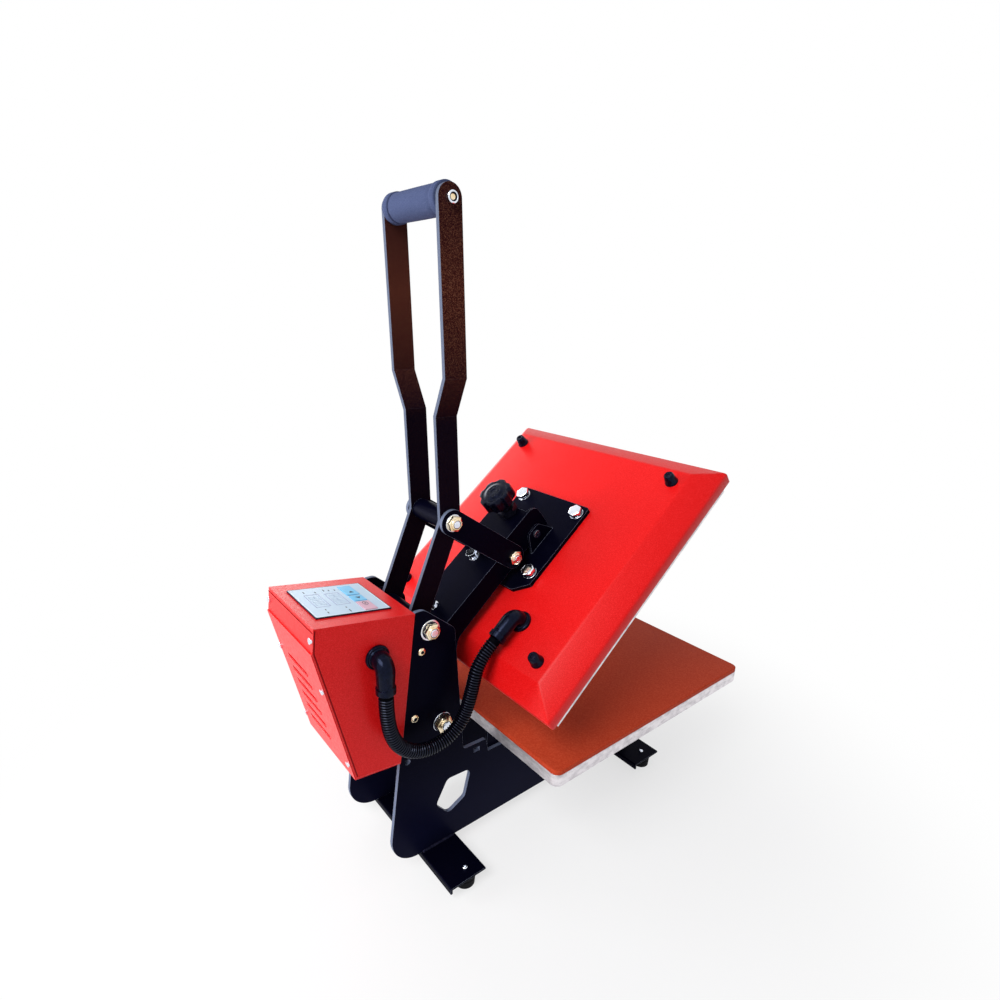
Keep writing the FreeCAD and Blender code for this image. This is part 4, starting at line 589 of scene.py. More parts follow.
def along(line, distance):
    """The point and the direction at a distance along a line."""
    for a, b in zip(line, line[1:]):
        step = (b - a).length
        if distance <= step or b is line[-1]:
            return a.lerp(b, min(1.0, distance / step)), (b - a).normalized()
        distance -= step


SIDES = 28


def ringed_tube(name, line, rings):
    """Rings of (distance, radius) along a line, joined into one skin."""
    points, faces = [], []
    across = None
    for distance, radius in rings:
        spot, way = along(line, distance)
        across = (across or Vector((1, 0, 0))) - way * way.dot(across or Vector((1, 0, 0)))
        across.normalize()
        up = way.cross(across)
        for k in range(SIDES):
            turn = math.tau * k / SIDES
            points.append(spot + (across * math.cos(turn) + up * math.sin(turn)) * radius * MM)
    for ring in range(len(rings) - 1):
        for k in range(SIDES):
            a, b = ring * SIDES + k, ring * SIDES + (k + 1) % SIDES
            faces.append((a, b, b + SIDES, a + SIDES))
    faces.append(tuple(range(SIDES - 1, -1, -1)))
    faces.append(tuple(range((len(rings) - 1) * SIDES, len(rings) * SIDES)))
    mesh = bpy.data.meshes.new(name)
    mesh.from_pydata(points, [], faces)
    piece = bpy.data.objects.new(name, mesh)
    bpy.context.scene.collection.objects.link(piece)
    hold(piece)
    bpy.ops.object.mode_set(mode="EDIT")
    bpy.ops.mesh.select_all(action="SELECT")
    bpy.ops.mesh.normals_make_consistent(inside=False)
    bpy.ops.object.mode_set(mode="OBJECT")
    bpy.ops.object.shade_smooth_by_angle(angle=math.radians(50))
    return piece


RIB, ROOT = 3.3, 7.2
RIB_FORM = ((0.0, ROOT), (0.20, 7.9), (0.32, 8.45), (0.46, 8.5), (0.60, 8.2), (0.74, ROOT))
rings = [(0.0, ROOT), (0.003, ROOT)]
rib_count = int((hose_length / MM - 8) / RIB)
for rib in range(rib_count):
    start = 0.004 + rib * RIB * MM
    for share, radius in RIB_FORM:
        rings.append((start + share * RIB * MM, radius))
rings += [(hose_length - 0.003, ROOT), (hose_length, ROOT)]
hose = coated(coated(ringed_tube("ribbed_conduit", hose_line, rings), valley_shade_finish), conduit)
for face in hose.data.polygons:
    ring = (face.index // SIDES - 2) % len(RIB_FORM)
    face.material_index = int(ring in (1, 2, 3))
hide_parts("ribbed_hose")
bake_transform(hose)
print("hose ribs:", rib_count, "faces:", len(hose.data.polygons))

# %% [markdown]
# Each end of the hose sits in a right-angle gland: a flange against the sheet metal, a quarter bend
# and a sleeve that grips the ribs, closed by a small latch. The bend is one ring of edges spun a
# quarter turn, so the wall stays the same size all the way round.

# %% Hose glands


def gland(name, base, out_axis, mouth_axis, out, reach, slot, body, node):
    bend = 10.8
    clear()
    bpy.ops.mesh.primitive_circle_add(vertices=40, radius=10.5 * MM, location=(0, 0, 2 * MM),
                                      fill_type="NGON")
    piece = named(name)
    bpy.ops.object.transform_apply(location=True, rotation=True, scale=True)
    choose(piece, lambda spot, way: True)
    bpy.ops.mesh.extrude_region_move(TRANSFORM_OT_translate={"value": (0, 0, (out - bend - 2) * MM)})
    bpy.ops.mesh.spin(steps=12, angle=-math.pi / 2, center=(bend * MM, 0, (out - bend) * MM), axis=(0, 1, 0))
    for step, grow in ((reach - bend - 9, 0.93), (0.6, 1.13), (6.4, 1.0), (0.9, 0.9)):
        bpy.ops.mesh.extrude_region_move(TRANSFORM_OT_translate={"value": (step * MM, 0, 0)})
        bpy.ops.transform.resize(value=(1, grow, grow))
    bpy.ops.mesh.inset(thickness=0.9 * MM)
    bpy.ops.mesh.extrude_region_move(TRANSFORM_OT_translate={"value": (-3 * MM, 0, 0)})
    bpy.ops.mesh.select_all(action="SELECT")
    bpy.ops.mesh.normals_make_consistent(inside=False)
    bpy.ops.object.mode_set(mode="OBJECT")
    bpy.ops.object.shade_smooth_by_angle(angle=math.radians(40))
    flange = turned(name + "_flange", [(0, 0), (13.2, 0), (14, 0.8), (14, 2.6), (13.4, 3.6), (12.2, 4),
                                       (11.6, 3.4), (11.2, 4.6), (10.4, 5.2), (0, 5.2)])
    latch = soften(block(name + "_latch", Vector((reach - 12, -3.2, out + 8.6)) * MM,
                         Vector((reach - 1.6, 3.2, out + 11.2)) * MM), 0.7)
    tab = soften(block(name + "_tab", Vector((reach - 15.5, -1.7, out + 9.0)) * MM,
                       Vector((reach - 11, 1.7, out + 10.9)) * MM), 0.5)
    piece = joined(name, [piece, flange, latch, tab])
    hold(piece)
    side = Vector(out_axis).cross(Vector(mouth_axis))
    turn = Matrix((Vector(mouth_axis), side, Vector(out_axis))).transposed().to_4x4()
    piece.matrix_world = Matrix.Translation(base) @ turn
    bpy.ops.object.transform_apply(location=True, rotation=True, scale=True)
    piece.data.materials.append(FINISH[slot])
    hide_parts(node)
    if node == "cover_elbow":
        lifted(piece)
    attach(piece, body)
    low, high = (Vector(c) for c in (piece.bound_box[0], piece.bound_box[6]))
    print(name, "from", tuple(round(v / MM) for v in low), "to", tuple(round(v / MM) for v in high))
    return piece


gland("box_gland", at(-61.5, 345, 142), (-1, 0, 0), (0, 0, -1), 18.5, 36, "gloss_black", "frame", "box_elbow")
gland("cover_gland", at(-87, 112, 49.75), (0, 0, 1), (0, 1, 0), 17, 38, "gloss_black", "upper_platen",
      "cover_elbow")

# %% [markdown]
# The platen's cover is one sheet, folded down at its rim: a flat top, a sloping border and an upright
# skirt, open below. It starts as a box, its top face is drawn up and in for the slope, the open face
# is taken away, the folds are bevelled, and last the sheet gets its thickness on the inside.

# %% Platen cover
COVER_LOW, SKIRT, COVER_INSET, COVER_RISE = 15.0, 14.85, 28.5, 19.9
COVER_TOP = COVER_LOW + SKIRT + COVER_RISE
cover = block("cover_shell", at(-190, -190, COVER_LOW), at(190, 190, COVER_LOW + SKIRT))
choose(cover, lambda spot, way: way.z > 0.9)
bpy.ops.mesh.extrude_region_move(TRANSFORM_OT_translate={"value": (0, 0, COVER_RISE * MM)})
shrink = 1 - COVER_INSET / 190
bpy.ops.transform.resize(value=(shrink, shrink, 1), center_override=at(0, 0, COVER_TOP))
choose(cover, lambda spot, way: way.z < -0.9)
bpy.ops.mesh.delete(type="ONLY_FACE")
floor_line = at(0, 0, COVER_LOW).z
choose(cover, lambda spot, way: spot.z > floor_line + 0.001, "EDGE")
bpy.ops.mesh.bevel(offset=2.4 * MM, segments=4)
bpy.ops.object.mode_set(mode="OBJECT")
wall = cover.modifiers.new("sheet", "SOLIDIFY")
wall.thickness, wall.offset, wall.use_even_offset = 1.5 * MM, -1, True
bpy.ops.object.modifier_apply(modifier=wall.name)
soften(cover, 0.35, 2, 60)
cover.data.materials.append(FINISH["red_powder"])
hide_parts("platen_cover")
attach(lifted(cover), "upper_platen")
print("cover faces:", len(cover.data.polygons))

# %% [markdown]
# The silicone pad is a soft sheet lying on the bed. A plain box is bevelled twice: its four upright
# edges by the corners' radius, and then its whole rim a little, as cut rubber is never knife sharp. It
# is left flat, because the bed carries it all over, and a cloth simulation would only make it wavy.

# %% Silicone pad
pad = block("pad_sheet", at(-190, -190, -6.4), at(190, 190, 0))
choose(pad, lambda spot, way: abs(way.z) > 0.9, "EDGE")
bpy.ops.mesh.bevel(offset=10 * MM, segments=8)
bpy.ops.object.mode_set(mode="OBJECT")
soften(pad, 0.9, 3, 60)
pad.data.materials.append(FINISH["silicone"])
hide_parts("silicone_pad")
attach(pad, "frame")
print("pad, mm:", measured(pad))

# %% [markdown]
# The grip is a foam sleeve over the tube between the two handle bars, a trace fuller in the middle,
# with a closed collar at each end. A cylinder would need every ring of its form placed by hand, so it
# is spun from one line instead, with a narrow groove at each collar.

# %% Foam grip
GRIP_Y, GRIP_Z = 250, 603.5
half = 49.7
line = [(11.2, -half), (15.8, -half), (16.5, -half + 0.8), (16.5, -half + 8.9), (16.1, -half + 9.4),
        (13.8, -half + 9.5), (13.8, -half + 10.4), (15.0, -half + 10.4), (15.4, -half + 11.0)]
crown = [(15.5, -30), (15.55, -15), (15.6, 0)]
line += crown + [(r, -h) for r, h in reversed(line + crown[:-1])]
grip = turned("foam_sleeve", line + [line[0]], 64, 60)
place(grip, at(0, GRIP_Y, GRIP_Z), (1, 0, 0))
grip.data.materials.append(FINISH["foam"])
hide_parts("foam_grip")
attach(grip, "handle")
print("grip, mm:", measured(grip))

# %% [markdown]
# A socket head bolt closes each end of the grip's tube. The head, the well of its socket, dark as
# painted shade, and the bright core in the well are three turned pieces that are joined, because a finish
# is easier to give to a whole piece than to faces picked out of one.

# %% Grip bolts
cap = coated(turned("socket_head", [(4.3, 5.0), (4.3, 5.8), (5.4, 5.8), (6, 5.2), (6, 0), (0, 0)], 40),
             FINISH["zinc"])
well = coated(turned("socket_well", [(4.3, 5.0), (4.2, 4.2), (3.0, 4.2), (2.9, 4.8)], 40), blued)
core = coated(turned("socket_core", [(2.9, 4.8), (2.3, 5.3), (0, 5.3)], 32), yellow_zinc)
near = joined("grip_socket_heads", [cap, well, core])
far = again(near)
place(near, at(-55, GRIP_Y, GRIP_Z), (-1, 0, 0))
place(far, at(55, GRIP_Y, GRIP_Z), (1, 0, 0))
sockets = joined("grip_socket_heads", [near, far])
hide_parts("grip_bolts")
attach(sockets, "handle")
print("grip bolts: 2")

# %% [markdown]
# Under the cover a fibre blanket keeps the heat in the plate. It can't be seen from outside. The solid
# is copied, welded and remeshed into an even skin, and a few smoothing steps then round it like felt. A
# cloth simulation could puff it up, but it is packed in tightly, so it keeps the solid's size.

# %% Insulation blanket
hold(frame["nodes"]["insulation"])
bpy.ops.object.duplicate(linked=False)
blanket = named("fibre_blanket")
blanket.parent = None
for key in list(blanket.keys()):
    del blanket[key]
bpy.ops.object.mode_set(mode="EDIT")
bpy.ops.mesh.select_all(action="SELECT")
bpy.ops.mesh.remove_doubles(threshold=1e-6)
bpy.ops.object.mode_set(mode="OBJECT")
skin = blanket.modifiers.new("skin", "REMESH")
skin.mode, skin.voxel_size = "VOXEL", 3.5 * MM
bpy.ops.object.modifier_apply(modifier=skin.name)
felt = blanket.modifiers.new("felt", "SMOOTH")
felt.factor, felt.iterations = 0.5, 4
bpy.ops.object.modifier_apply(modifier=felt.name)
bpy.ops.object.shade_smooth()
blanket.data.materials.clear()
blanket.data.materials.append(FINISH["blanket"])
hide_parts("insulation")
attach(blanket, "upper_platen")
print("blanket faces:", len(blanket.data.polygons))

# %% [markdown]
# Four plastic bumpers stand on the cover's corners. Each is a tapered post with a dimple on top, where
# the head of its screw shows. One is turned and copied.

# %% Corner bumpers
post = coated(turned("bumper_post", [(0, 0), (8.5, 0), (8.5, 1.2), (7.9, 2.2), (7.0, 8.0), (6.3, 12.8),
                                     (5.4, 14), (4.3, 14), (4.2, 13.4)], 36), FINISH["gloss_black"])
dimple = coated(turned("bumper_ring", [(4.2, 13.4), (2.8, 13.4), (2.6, 12.0), (0, 12.0)], 36), blued)
bumper = joined("corner_bumper", [post, dimple])
bumpers = [bumper] + [again(bumper) for _ in range(3)]
BUMPER_SPOTS = ((-143.5, 142.0), (-143.5, -142.5), (143.5, 142.0), (143.5, -142.5))
for piece, (x, y) in zip(bumpers, BUMPER_SPOTS):
    place(piece, at(x, y, COVER_TOP))
caps = joined("corner_bumpers", bumpers)
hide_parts("cover_knobs")
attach(lifted(caps), "upper_platen")
print("bumpers:", len(bumpers))

# %% [markdown]
# Four hex bolts hold the platen's bracket. Each has a flat washer and a split spring washer below a
# chamfered head. One is made and copied, each turned a little differently, as a wrench leaves them.

# %% Bracket bolts
head = coated(hex_head("bracket_head", 16.5, 6.4, 2.4), FINISH["zinc"])
flat = coated(turned("flat_washer", [(5.3, 0), (9.4, 0), (9.5, 0.2), (9.5, 0.8), (9.3, 1.0), (5.3, 1.0),
                                     (5.3, 0)]), FINISH["zinc"])
spring = coated(turned("spring_washer", [(5.3, 1.0), (7.8, 1.0), (7.9, 1.6), (7.8, 2.4), (5.3, 2.4),
                                         (5.3, 1.0)]), blued)
bolt = joined("bracket_bolt", [head, flat, spring])
bolts = [bolt] + [again(bolt) for _ in range(3)]
BRACKET = 6
for turn, (piece, (x, y)) in enumerate(zip(bolts, ((53, 52), (-53, 52), (53, -51), (-53, -51)))):
    place(piece, at(x, y, COVER_TOP + BRACKET), (0, 0, 1), 0.35 + 0.7 * turn)
bracket_heads = joined("bracket_heads", bolts)
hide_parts("bracket_bolts")
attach(lifted(bracket_heads), "upper_platen")
print("bracket bolts:", len(bolts))

# %% [markdown]
# The pivots end in lock nuts on the near side and in hex heads on the far side. A lock nut is a hex with
# a round collar that holds a nylon ring, and the bolt's end just shows in it. Washers spread the load.
# The thread inside isn't cut, because nobody ever sees it.

# %% Lock nuts


def lock_nut(across, high, thread):
    hexes = coated(hex_head("lock_nut_hex", across, high), yellow_zinc)
    ring = across * 0.41
    collar = coated(turned("nut_collar", [(thread + 0.7, high - 0.6), (ring, high - 0.6), (ring, high + 1.2),
                                          (ring - 0.9, high + 2.1), (thread + 0.7, high + 2.1),
                                          (thread + 0.7, high - 0.6)], 40), yellow_zinc)
    nylon = coated(turned("nylon_ring", [(thread + 0.7, high + 1.7), (thread, high + 1.5)], 40), blued)
    end = coated(turned("bolt_end", [(thread, high + 1.5), (thread, high + 2.0), (thread - 0.7, high + 2.5),
                                     (0, high + 2.5)], 32), FINISH["zinc"])
    return joined("lock_nut_piece", [hexes, collar, nylon, end])


def washer(bore, radius, thick, metal=FINISH["zinc"]):
    return coated(turned("washer", [(bore, 0), (radius - 0.3, 0), (radius, 0.3), (radius, thick - 0.3),
                                    (radius - 0.3, thick), (bore, thick), (bore, 0)]), metal)


def pin(name, radius, reach):
    rod = turned(name, [(0, -reach), (radius, -reach), (radius, reach), (0, reach)], 32)
    return coated(rod, FINISH["zinc"])


print("fasteners:", [fastener.__name__ for fastener in (lock_nut, washer, pin)])

# %% [markdown]
# Two long bolts cross both towers: the handle's crank turns on the upper one and the arm on the lower.
# The knee bolt joins the handle to the link, and the link's far end turns on the lifting pin. They are
# put together from the same few fasteners, and each group rides on the body that it belongs to.

# %% Pivot, knee and link hardware
PLATE_OUT, WASHER = 59.5, 2.0
NEAR, FAR = (-1, 0, 0), (1, 0, 0)
hardware = []
for y, z, radius, across in ((276.9, 151.9, 7, 17.5), (260, 23.5, 8, 20)):
    near_washer = washer(radius, 12.5, WASHER)
    far_washer = again(near_washer)
    hardware += [
        place(near_washer, at(-PLATE_OUT, y, z), NEAR),
        place(far_washer, at(PLATE_OUT, y, z), FAR),
        place(washer(radius, across * 0.6, 1.0, blued), at(-PLATE_OUT - WASHER, y, z), NEAR),
        place(pin("pivot_shank", radius, PLATE_OUT + WASHER), at(0, y, z), FAR),
        place(lock_nut(across, radius * 0.9, radius * 0.7), at(-PLATE_OUT - WASHER - 0.6, y, z), NEAR, 0.4),
        place(coated(hex_head("pivot_head", across, radius * 0.7), yellow_zinc),
              at(PLATE_OUT + WASHER, y, z), FAR, 0.2)]
pivots = joined("pivot_hardware", hardware)
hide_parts("crank_pivot_bolt", "arm_pivot_bolt", "pivot_nuts")
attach(pivots, "frame")

KNEE = (231.878, 265.612)
knee = joined("knee_hardware", [
    place(washer(6, 10.5, 1.2), at(-39.8, *KNEE), NEAR),
    place(lock_nut(17, 5.2, 4.4), at(-41, *KNEE), NEAR, 0.3),
    place(pin("knee_shank", 6, 39.8), at(0, *KNEE), FAR),
    place(coated(hex_head("knee_head", 17, 5.6), yellow_zinc), at(39.8, *KNEE), FAR, 0.6)])
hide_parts("cross_bolt")
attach(knee, "handle")

TURN = (136.159, 201.732)
near_nut = lock_nut(17, 5.2, 4.4)
far_nut = again(near_nut)
link_nuts = joined("link_hardware", [place(near_nut, at(-39.5, *TURN), NEAR, 0.3),
                                     place(far_nut, at(39.5, *TURN), FAR, 0.8)])
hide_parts("link_end_bolts")
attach(link_nuts, "link")
print("lock nuts: 5")

# %% [markdown]
# Round button heads hold the stays between the towers, and small pan heads hold the rubber feet. A
# socket could be cut out with a boolean, but a line spun in only six steps is already a hexagon.

# %% Button heads and foot screws
# The hex sockets get a dark finish as painted shade in their recesses.
button = joined("button_head", [
    coated(turned("button_dome", [(2.2, 2.3), (3.0, 2.3), (4.3, 1.7), (5, 0.7), (5, 0)], 36), yellow_zinc),
    coated(turned("button_socket", [(2.2, 2.3), (2.1, 1.0), (0, 1.0)], 6), blued)])
buttons = [button] + [again(button) for _ in range(3)]
STAY_ENDS = [(x, y, z) for y, z in ((287.7, 127.3), (297.8, 43.1)) for x in (-PLATE_OUT, PLATE_OUT)]
for piece, (x, y, z) in zip(buttons, STAY_ENDS):
    place(piece, at(x, y, z), (x, 0, 0))
small = coated(turned("foot_screw_head", [(0, 1.2), (0.9, 1.2), (1.0, 2.4), (2.2, 2.4), (3.0, 1.7),
                                          (3.25, 0.6), (3.25, 0)], 30), FINISH["zinc"])
smalls = [small] + [again(small) for _ in range(3)]
FOOT_SPOTS = ((-111, 259), (111, 259), (-105.5, -89), (105.5, -89))
SOLE, FLOOR = -158, -178
for piece, (x, y) in zip(smalls, FOOT_SPOTS):
    place(piece, at(x, y, SOLE))
screws = joined("screw_heads", buttons + smalls)
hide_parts("frame_screws")
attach(screws, "frame")
print("screw heads:", len(buttons) + len(smalls))

# %% [markdown]
# The side plates are welded to the foot plates. A weld is a row of overlapping ripples under the coat.
# Noise on a plain strip would look like dirt, so the ripples are turned as real shapes, and they get a
# plain dark finish, because the powder's painted edge highlight would glitter on each of them.

# %% Weld beads
ripples = [(0, 0)]
for step in range(12):
    ripples += [(1.9, 4.0 * step + 0.4), (2.5 + 0.2 * (step % 3), 4.0 * step + 1.8), (2.2, 4.0 * step + 3.4)]
bead = coated(turned("weld_bead", ripples + [(0, 48.2)], 20, 60), blued)
beads = [bead] + [again(bead) for _ in range(3)]
for piece, (x, y) in zip(beads, ((-59.5, 240), (59.5, 240), (-59.5, -108), (59.5, -108))):
    place(piece, at(x, y, SOLE), (0, 1, 0))
welds = joined("weld_beads", beads)
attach(welds, "frame")
print("weld beads:", len(beads))

# %% [markdown]
# The press stands on four rubber feet, each a tapered round block with a groove below its shoulder. One
# is turned and copied, and stands with its face on the floor, 178 mm below the pad.

# %% Rubber feet
foot = coated(turned("rubber_foot", [(0, 0), (11.9, 0), (12.5, 0.6), (13.1, 9.6), (12.3, 10.2),
                                     (12.3, 11.2), (13.4, 11.8), (14, 17.5), (0, 17.5)], 48),
              FINISH["rubber"])
feet = [foot] + [again(foot) for _ in range(3)]
for piece, (x, y) in zip(feet, FOOT_SPOTS):
    place(piece, at(x, y, FLOOR))
stand = joined("turned_feet", feet)
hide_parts("rubber_feet")
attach(stand, "frame")
print("rubber feet:", len(feet))

# %% [markdown]
# The pressure knob is a seven lobed moulding with a raised hub and a few turned rings on its face. It
# could be drawn up from a star outline, but a turned blank keeps its rings, and seven round cutters then
# take even finger scoops out of its rim. Half a lobe of turn brings a lobe to the top, as on the press.

# %% Pressure knob
KNOB_LOW = 127.0
LOBES, KNOB_RADIUS, SCOOP_RADIUS = 7, 22.5, 9
blank = turned("knob_body", [
    (0, 0), (21.2, 0), (KNOB_RADIUS, 1.3), (KNOB_RADIUS, 16.4), (21.5, 17.6), (20, 18), (17.4, 18),
    (17.1, 17.4), (16.3, 17.4), (16, 18), (14, 18), (11.6, 19.2), (10.8, 19.5), (8.4, 19.5),
    (8.1, 18.9), (7.3, 18.9), (7, 19.5), (4.2, 19.5), (3.8, 18.6), (0, 18.6)], 84)
scoop_from = (KNOB_RADIUS + SCOOP_RADIUS * 0.6) * MM
clear()
bpy.ops.mesh.primitive_cylinder_add(vertices=40, radius=SCOOP_RADIUS * MM, depth=60 * MM)
scoop = named("scoop")
scoops = [scoop] + [again(scoop) for _ in range(LOBES - 1)]
for lobe, piece in enumerate(scoops):
    turn = math.tau * (lobe + 0.5) / LOBES
    place(piece, Vector((math.cos(turn), math.sin(turn), 0)) * scoop_from)
cutter = joined("scoops", scoops)
hold(blank)
cut = blank.modifiers.new("scoops", "BOOLEAN")
cut.object, cut.operation, cut.solver = cutter, "DIFFERENCE", "EXACT"
bpy.ops.object.modifier_apply(modifier=cut.name)
bpy.data.objects.remove(cutter)
neck = turned("knob_neck", [(0, -9), (10.4, -9), (11, -8.4), (11, 0.5), (0, 0.5)])
knob = joined("lobed_knob", [blank, neck])
soften(knob, 0.5, 2, 40)
place(knob, at(0, 5, KNOB_LOW))
knob.data.materials.append(FINISH["gloss_black"])
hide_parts("pressure_knob")
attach(lifted(knob), "pressure_screw")
print("knob faces:", len(knob.data.polygons))

# %% [markdown]
# The panel's print is a set of thin flat shapes just proud of the film: two window outlines, an arrow
# on each blue key, a ring on the pink one, and a few plain dashes beside them. A dark rim stands round
# the panel's edge. A painted pattern could carry it too, but shapes stay sharp however near the eye
# comes. They are drawn flat and then laid on the box's sloping top.

# %% Panel slope
SLOPE = math.radians(8.43)
PANEL_FOOT = at(0, 297, 178.3)


def on_panel(piece, proud=1.6):
    """Lays a flat shape, drawn as x and s in metres, on the sloping top of the box."""
    hold(piece)
    piece.matrix_world = (Matrix.Translation(PANEL_FOOT) @ Matrix.Rotation(SLOPE, 4, "X")
                          @ Matrix.Translation((0, 0, proud * MM)))
    bpy.ops.object.transform_apply(location=True, rotation=True, scale=True)
    return piece


def bar(name, x0, x1, s0, s1, thick=0.12):
    return block(name, Vector((x0, s0, 0)) * MM, Vector((x1, s1, thick)) * MM)


def outline(name, x0, x1, s0, s1, wide):
    return joined(name, [bar("side", x0, x1, s0, s0 + wide), bar("side", x0, x1, s1 - wide, s1),
                         bar("side", x0, x0 + wide, s0, s1), bar("side", x1 - wide, x1, s0, s1)])


print("panel slope, degrees:", round(math.degrees(SLOPE), 2))

# %% [markdown]
# Everything on the sheet is made of bars. A window is an outline of four, and a ghost digit is two
# outlines one above the other, like a display that is switched off.

# %% Panel print
windows = joined("window_outlines", [outline("window", -15, 21, 77, 94, 1.0),
                                     outline("window", -15, 19, 54, 71, 1.0)])
windows.data.materials.append(window_print)
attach(on_panel(windows), "frame")

digits = []
for line_foot in (79.6, 56.6):
    for x in (-10, -1, 8):
        digits += [outline("digit", x, x + 6, s, s + 6.2, 0.8) for s in (line_foot, line_foot + 5.4)]
ghosts = coated(joined("ghost_digits", digits), ghost_print)
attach(on_panel(ghosts), "frame")

border = coated(outline("panel_border", -39.2, 39.2, 18.8, 104.2, 1.2), pale_print)
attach(on_panel(border), "frame")

RIM_HIGH = 1.62
rim = joined("panel_rim", [
    bar("side", -40.1, 40.1, 17.9, 18.5, RIM_HIGH), bar("side", -40.1, 40.1, 104.5, 105.1, RIM_HIGH),
    bar("side", -40.1, -39.5, 17.9, 105.1, RIM_HIGH), bar("side", 39.5, 40.1, 17.9, 105.1, RIM_HIGH)])
dashes = [bar("dash", x - w / 2, x + w / 2, s - 0.6, s + 0.6) for x, s, w in (
    (28.7, 90.5, 4.5), (25.8, 78.1, 4.0), (29, 67.2, 4.5), (27.9, 61.2, 3.0), (26.5, 54.7, 3.5),
    (-23, 87.1, 3.0), (-30.8, 87.6, 4.0), (-23.4, 63.8, 2.5), (-32.5, 63.5, 6.0))]
marks = joined("panel_marks", dashes)
marks.data.materials.append(dark_print)
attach(on_panel(marks), "frame")
rim.data.materials.append(dark_print)
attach(on_panel(rim, 0.05), "frame")
print("panel marks:", len(dashes))

# %% [markdown]
# The arrows and the ring ride on their own keys, so that they go down when a key is pressed. An arrow
# starts as a cylinder with three sides, and the ring is turned and then squeezed to an oval.

# %% Key print


def arrow(name, x, s, point):
    clear()
    bpy.ops.mesh.primitive_cylinder_add(vertices=3, radius=3.3 * MM, depth=0.12 * MM,
                                        location=(0, 0, 0.06 * MM))
    piece = named(name)
    bpy.ops.object.transform_apply(location=True, rotation=True, scale=True)
    piece.data.transform(Matrix.Translation((x * MM, s * MM, 0)) @ Matrix.Rotation(point, 4, "Z"))
    return piece


circle = turned("key_ring", [(3.0, 0), (3.6, 0), (3.6, 0.12), (3.0, 0.12), (3.0, 0)], 40)
circle.data.transform(Matrix.Translation((-21 * MM, 40 * MM, 0)) @ Matrix.Diagonal((1.3, 0.85, 1, 1)))
dot = turned("key_dot", [(0, 0), (1.1, 0), (1.1, 0.12), (0, 0.12)], 24)
dot.data.transform(Matrix.Translation((-21 * MM, 40 * MM, 0)))
key_marks = ((arrow("arrow_up", 14, 40, -math.pi / 2), "key_up"),
             (arrow("arrow_down", -3, 39.5, math.pi / 2), "key_down"),
             (joined("set_mark", [circle, dot]), "key_set"))
for piece, key in key_marks:
    piece.data.materials.append(dark_print)
    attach(on_panel(piece, 2.45), key)
print("keys printed:", len(key_marks))

# %% [markdown]
# The control box is closed by a rear sheet. Where that sheet meets the sides and where the top is folded
# over it, the narrow gaps lie in shade, and that shade is painted as thin dark red strips. Below each
# vent slot the pressed metal stands out as a thin lip. The gaps could be cut into the box, but a strip a
# tenth of a millimetre thick gives the same dark line and leaves the solid as it is.

# %% Control box seams and vent lips


def seam(name, first, last, x, wide=1.1):
    """A thin strip of painted shade on a side of the box, from one (y, z) to another."""
    a, b = at(x, *first), at(x, *last)
    far_end = Vector((wide / 2, 0.05, (b - a).length / MM)) * MM
    strip = coated(block(name, Vector((-wide / 2, -0.05, 0)) * MM, far_end), seam_shade)
    hold(strip)
    run = (b - a).normalized()
    out = Vector((1, 0, 0))
    turn = Matrix((run.cross(out), out, run)).transposed().to_4x4()
    strip.matrix_world = Matrix.Translation(a) @ turn
    bpy.ops.object.transform_apply(location=True, rotation=True, scale=True)
    return strip


seams = []
for x in (-61.55, 61.55):
    seams += [seam("seam", (411.4, 193.4), (413.6, 168.5), x), seam("seam", (413.6, 168.5), (372.6, 2.0), x)]
fold = coated(block("seam", at(-61, 413.6, 190.6), at(61, 414.0, 191.4)), seam_shade)
seams = joined("box_seams", seams + [fold])
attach(seams, "frame")

LEAN = math.atan2(41.5, 168.5)
lip = coated(soften(block("vent_lip", Vector((-26.5, -0.7, 0)) * MM, Vector((26.5, 0.7, 1.3)) * MM), 0.45, 2),
             FINISH["red_powder"])
lips = [lip] + [again(lip) for _ in range(5)]
for step, piece in enumerate(lips):
    z = 118.2 - 17.9 * step
    place(piece, at(9, 374 + z * math.tan(LEAN) + 1.3, z), (0, math.cos(LEAN), -math.sin(LEAN)))
lips = joined("vent_lips", lips)
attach(lips, "frame")
print("seams:", len(seams.data.polygons) // 6, "vent lips, mm:", measured(lips))

# %% [markdown]
# The press stands on a plain pale floor. More light would whiten the floor, but it would burn out the
# metal as well, so the floor has a glow of its own that only the eye and the reflections see. It grows
# with the distance from the press, which leaves the shadow under the press as it falls.

# %% Floor


def seen_directly(nodes, links):
    """1 for the eye, a reflection or a look through something clear, and 0 for the light it gives."""
    path = nodes.new("ShaderNodeLightPath")
    found = path.outputs["Is Camera Ray"]
    for ray in ("Is Glossy Ray", "Is Transmission Ray"):
        either = nodes.new("ShaderNodeMath")
        either.operation = "MAXIMUM"
        links.new(found, either.inputs[0])
        links.new(path.outputs[ray], either.inputs[1])
        found = either.outputs["Value"]
    return found


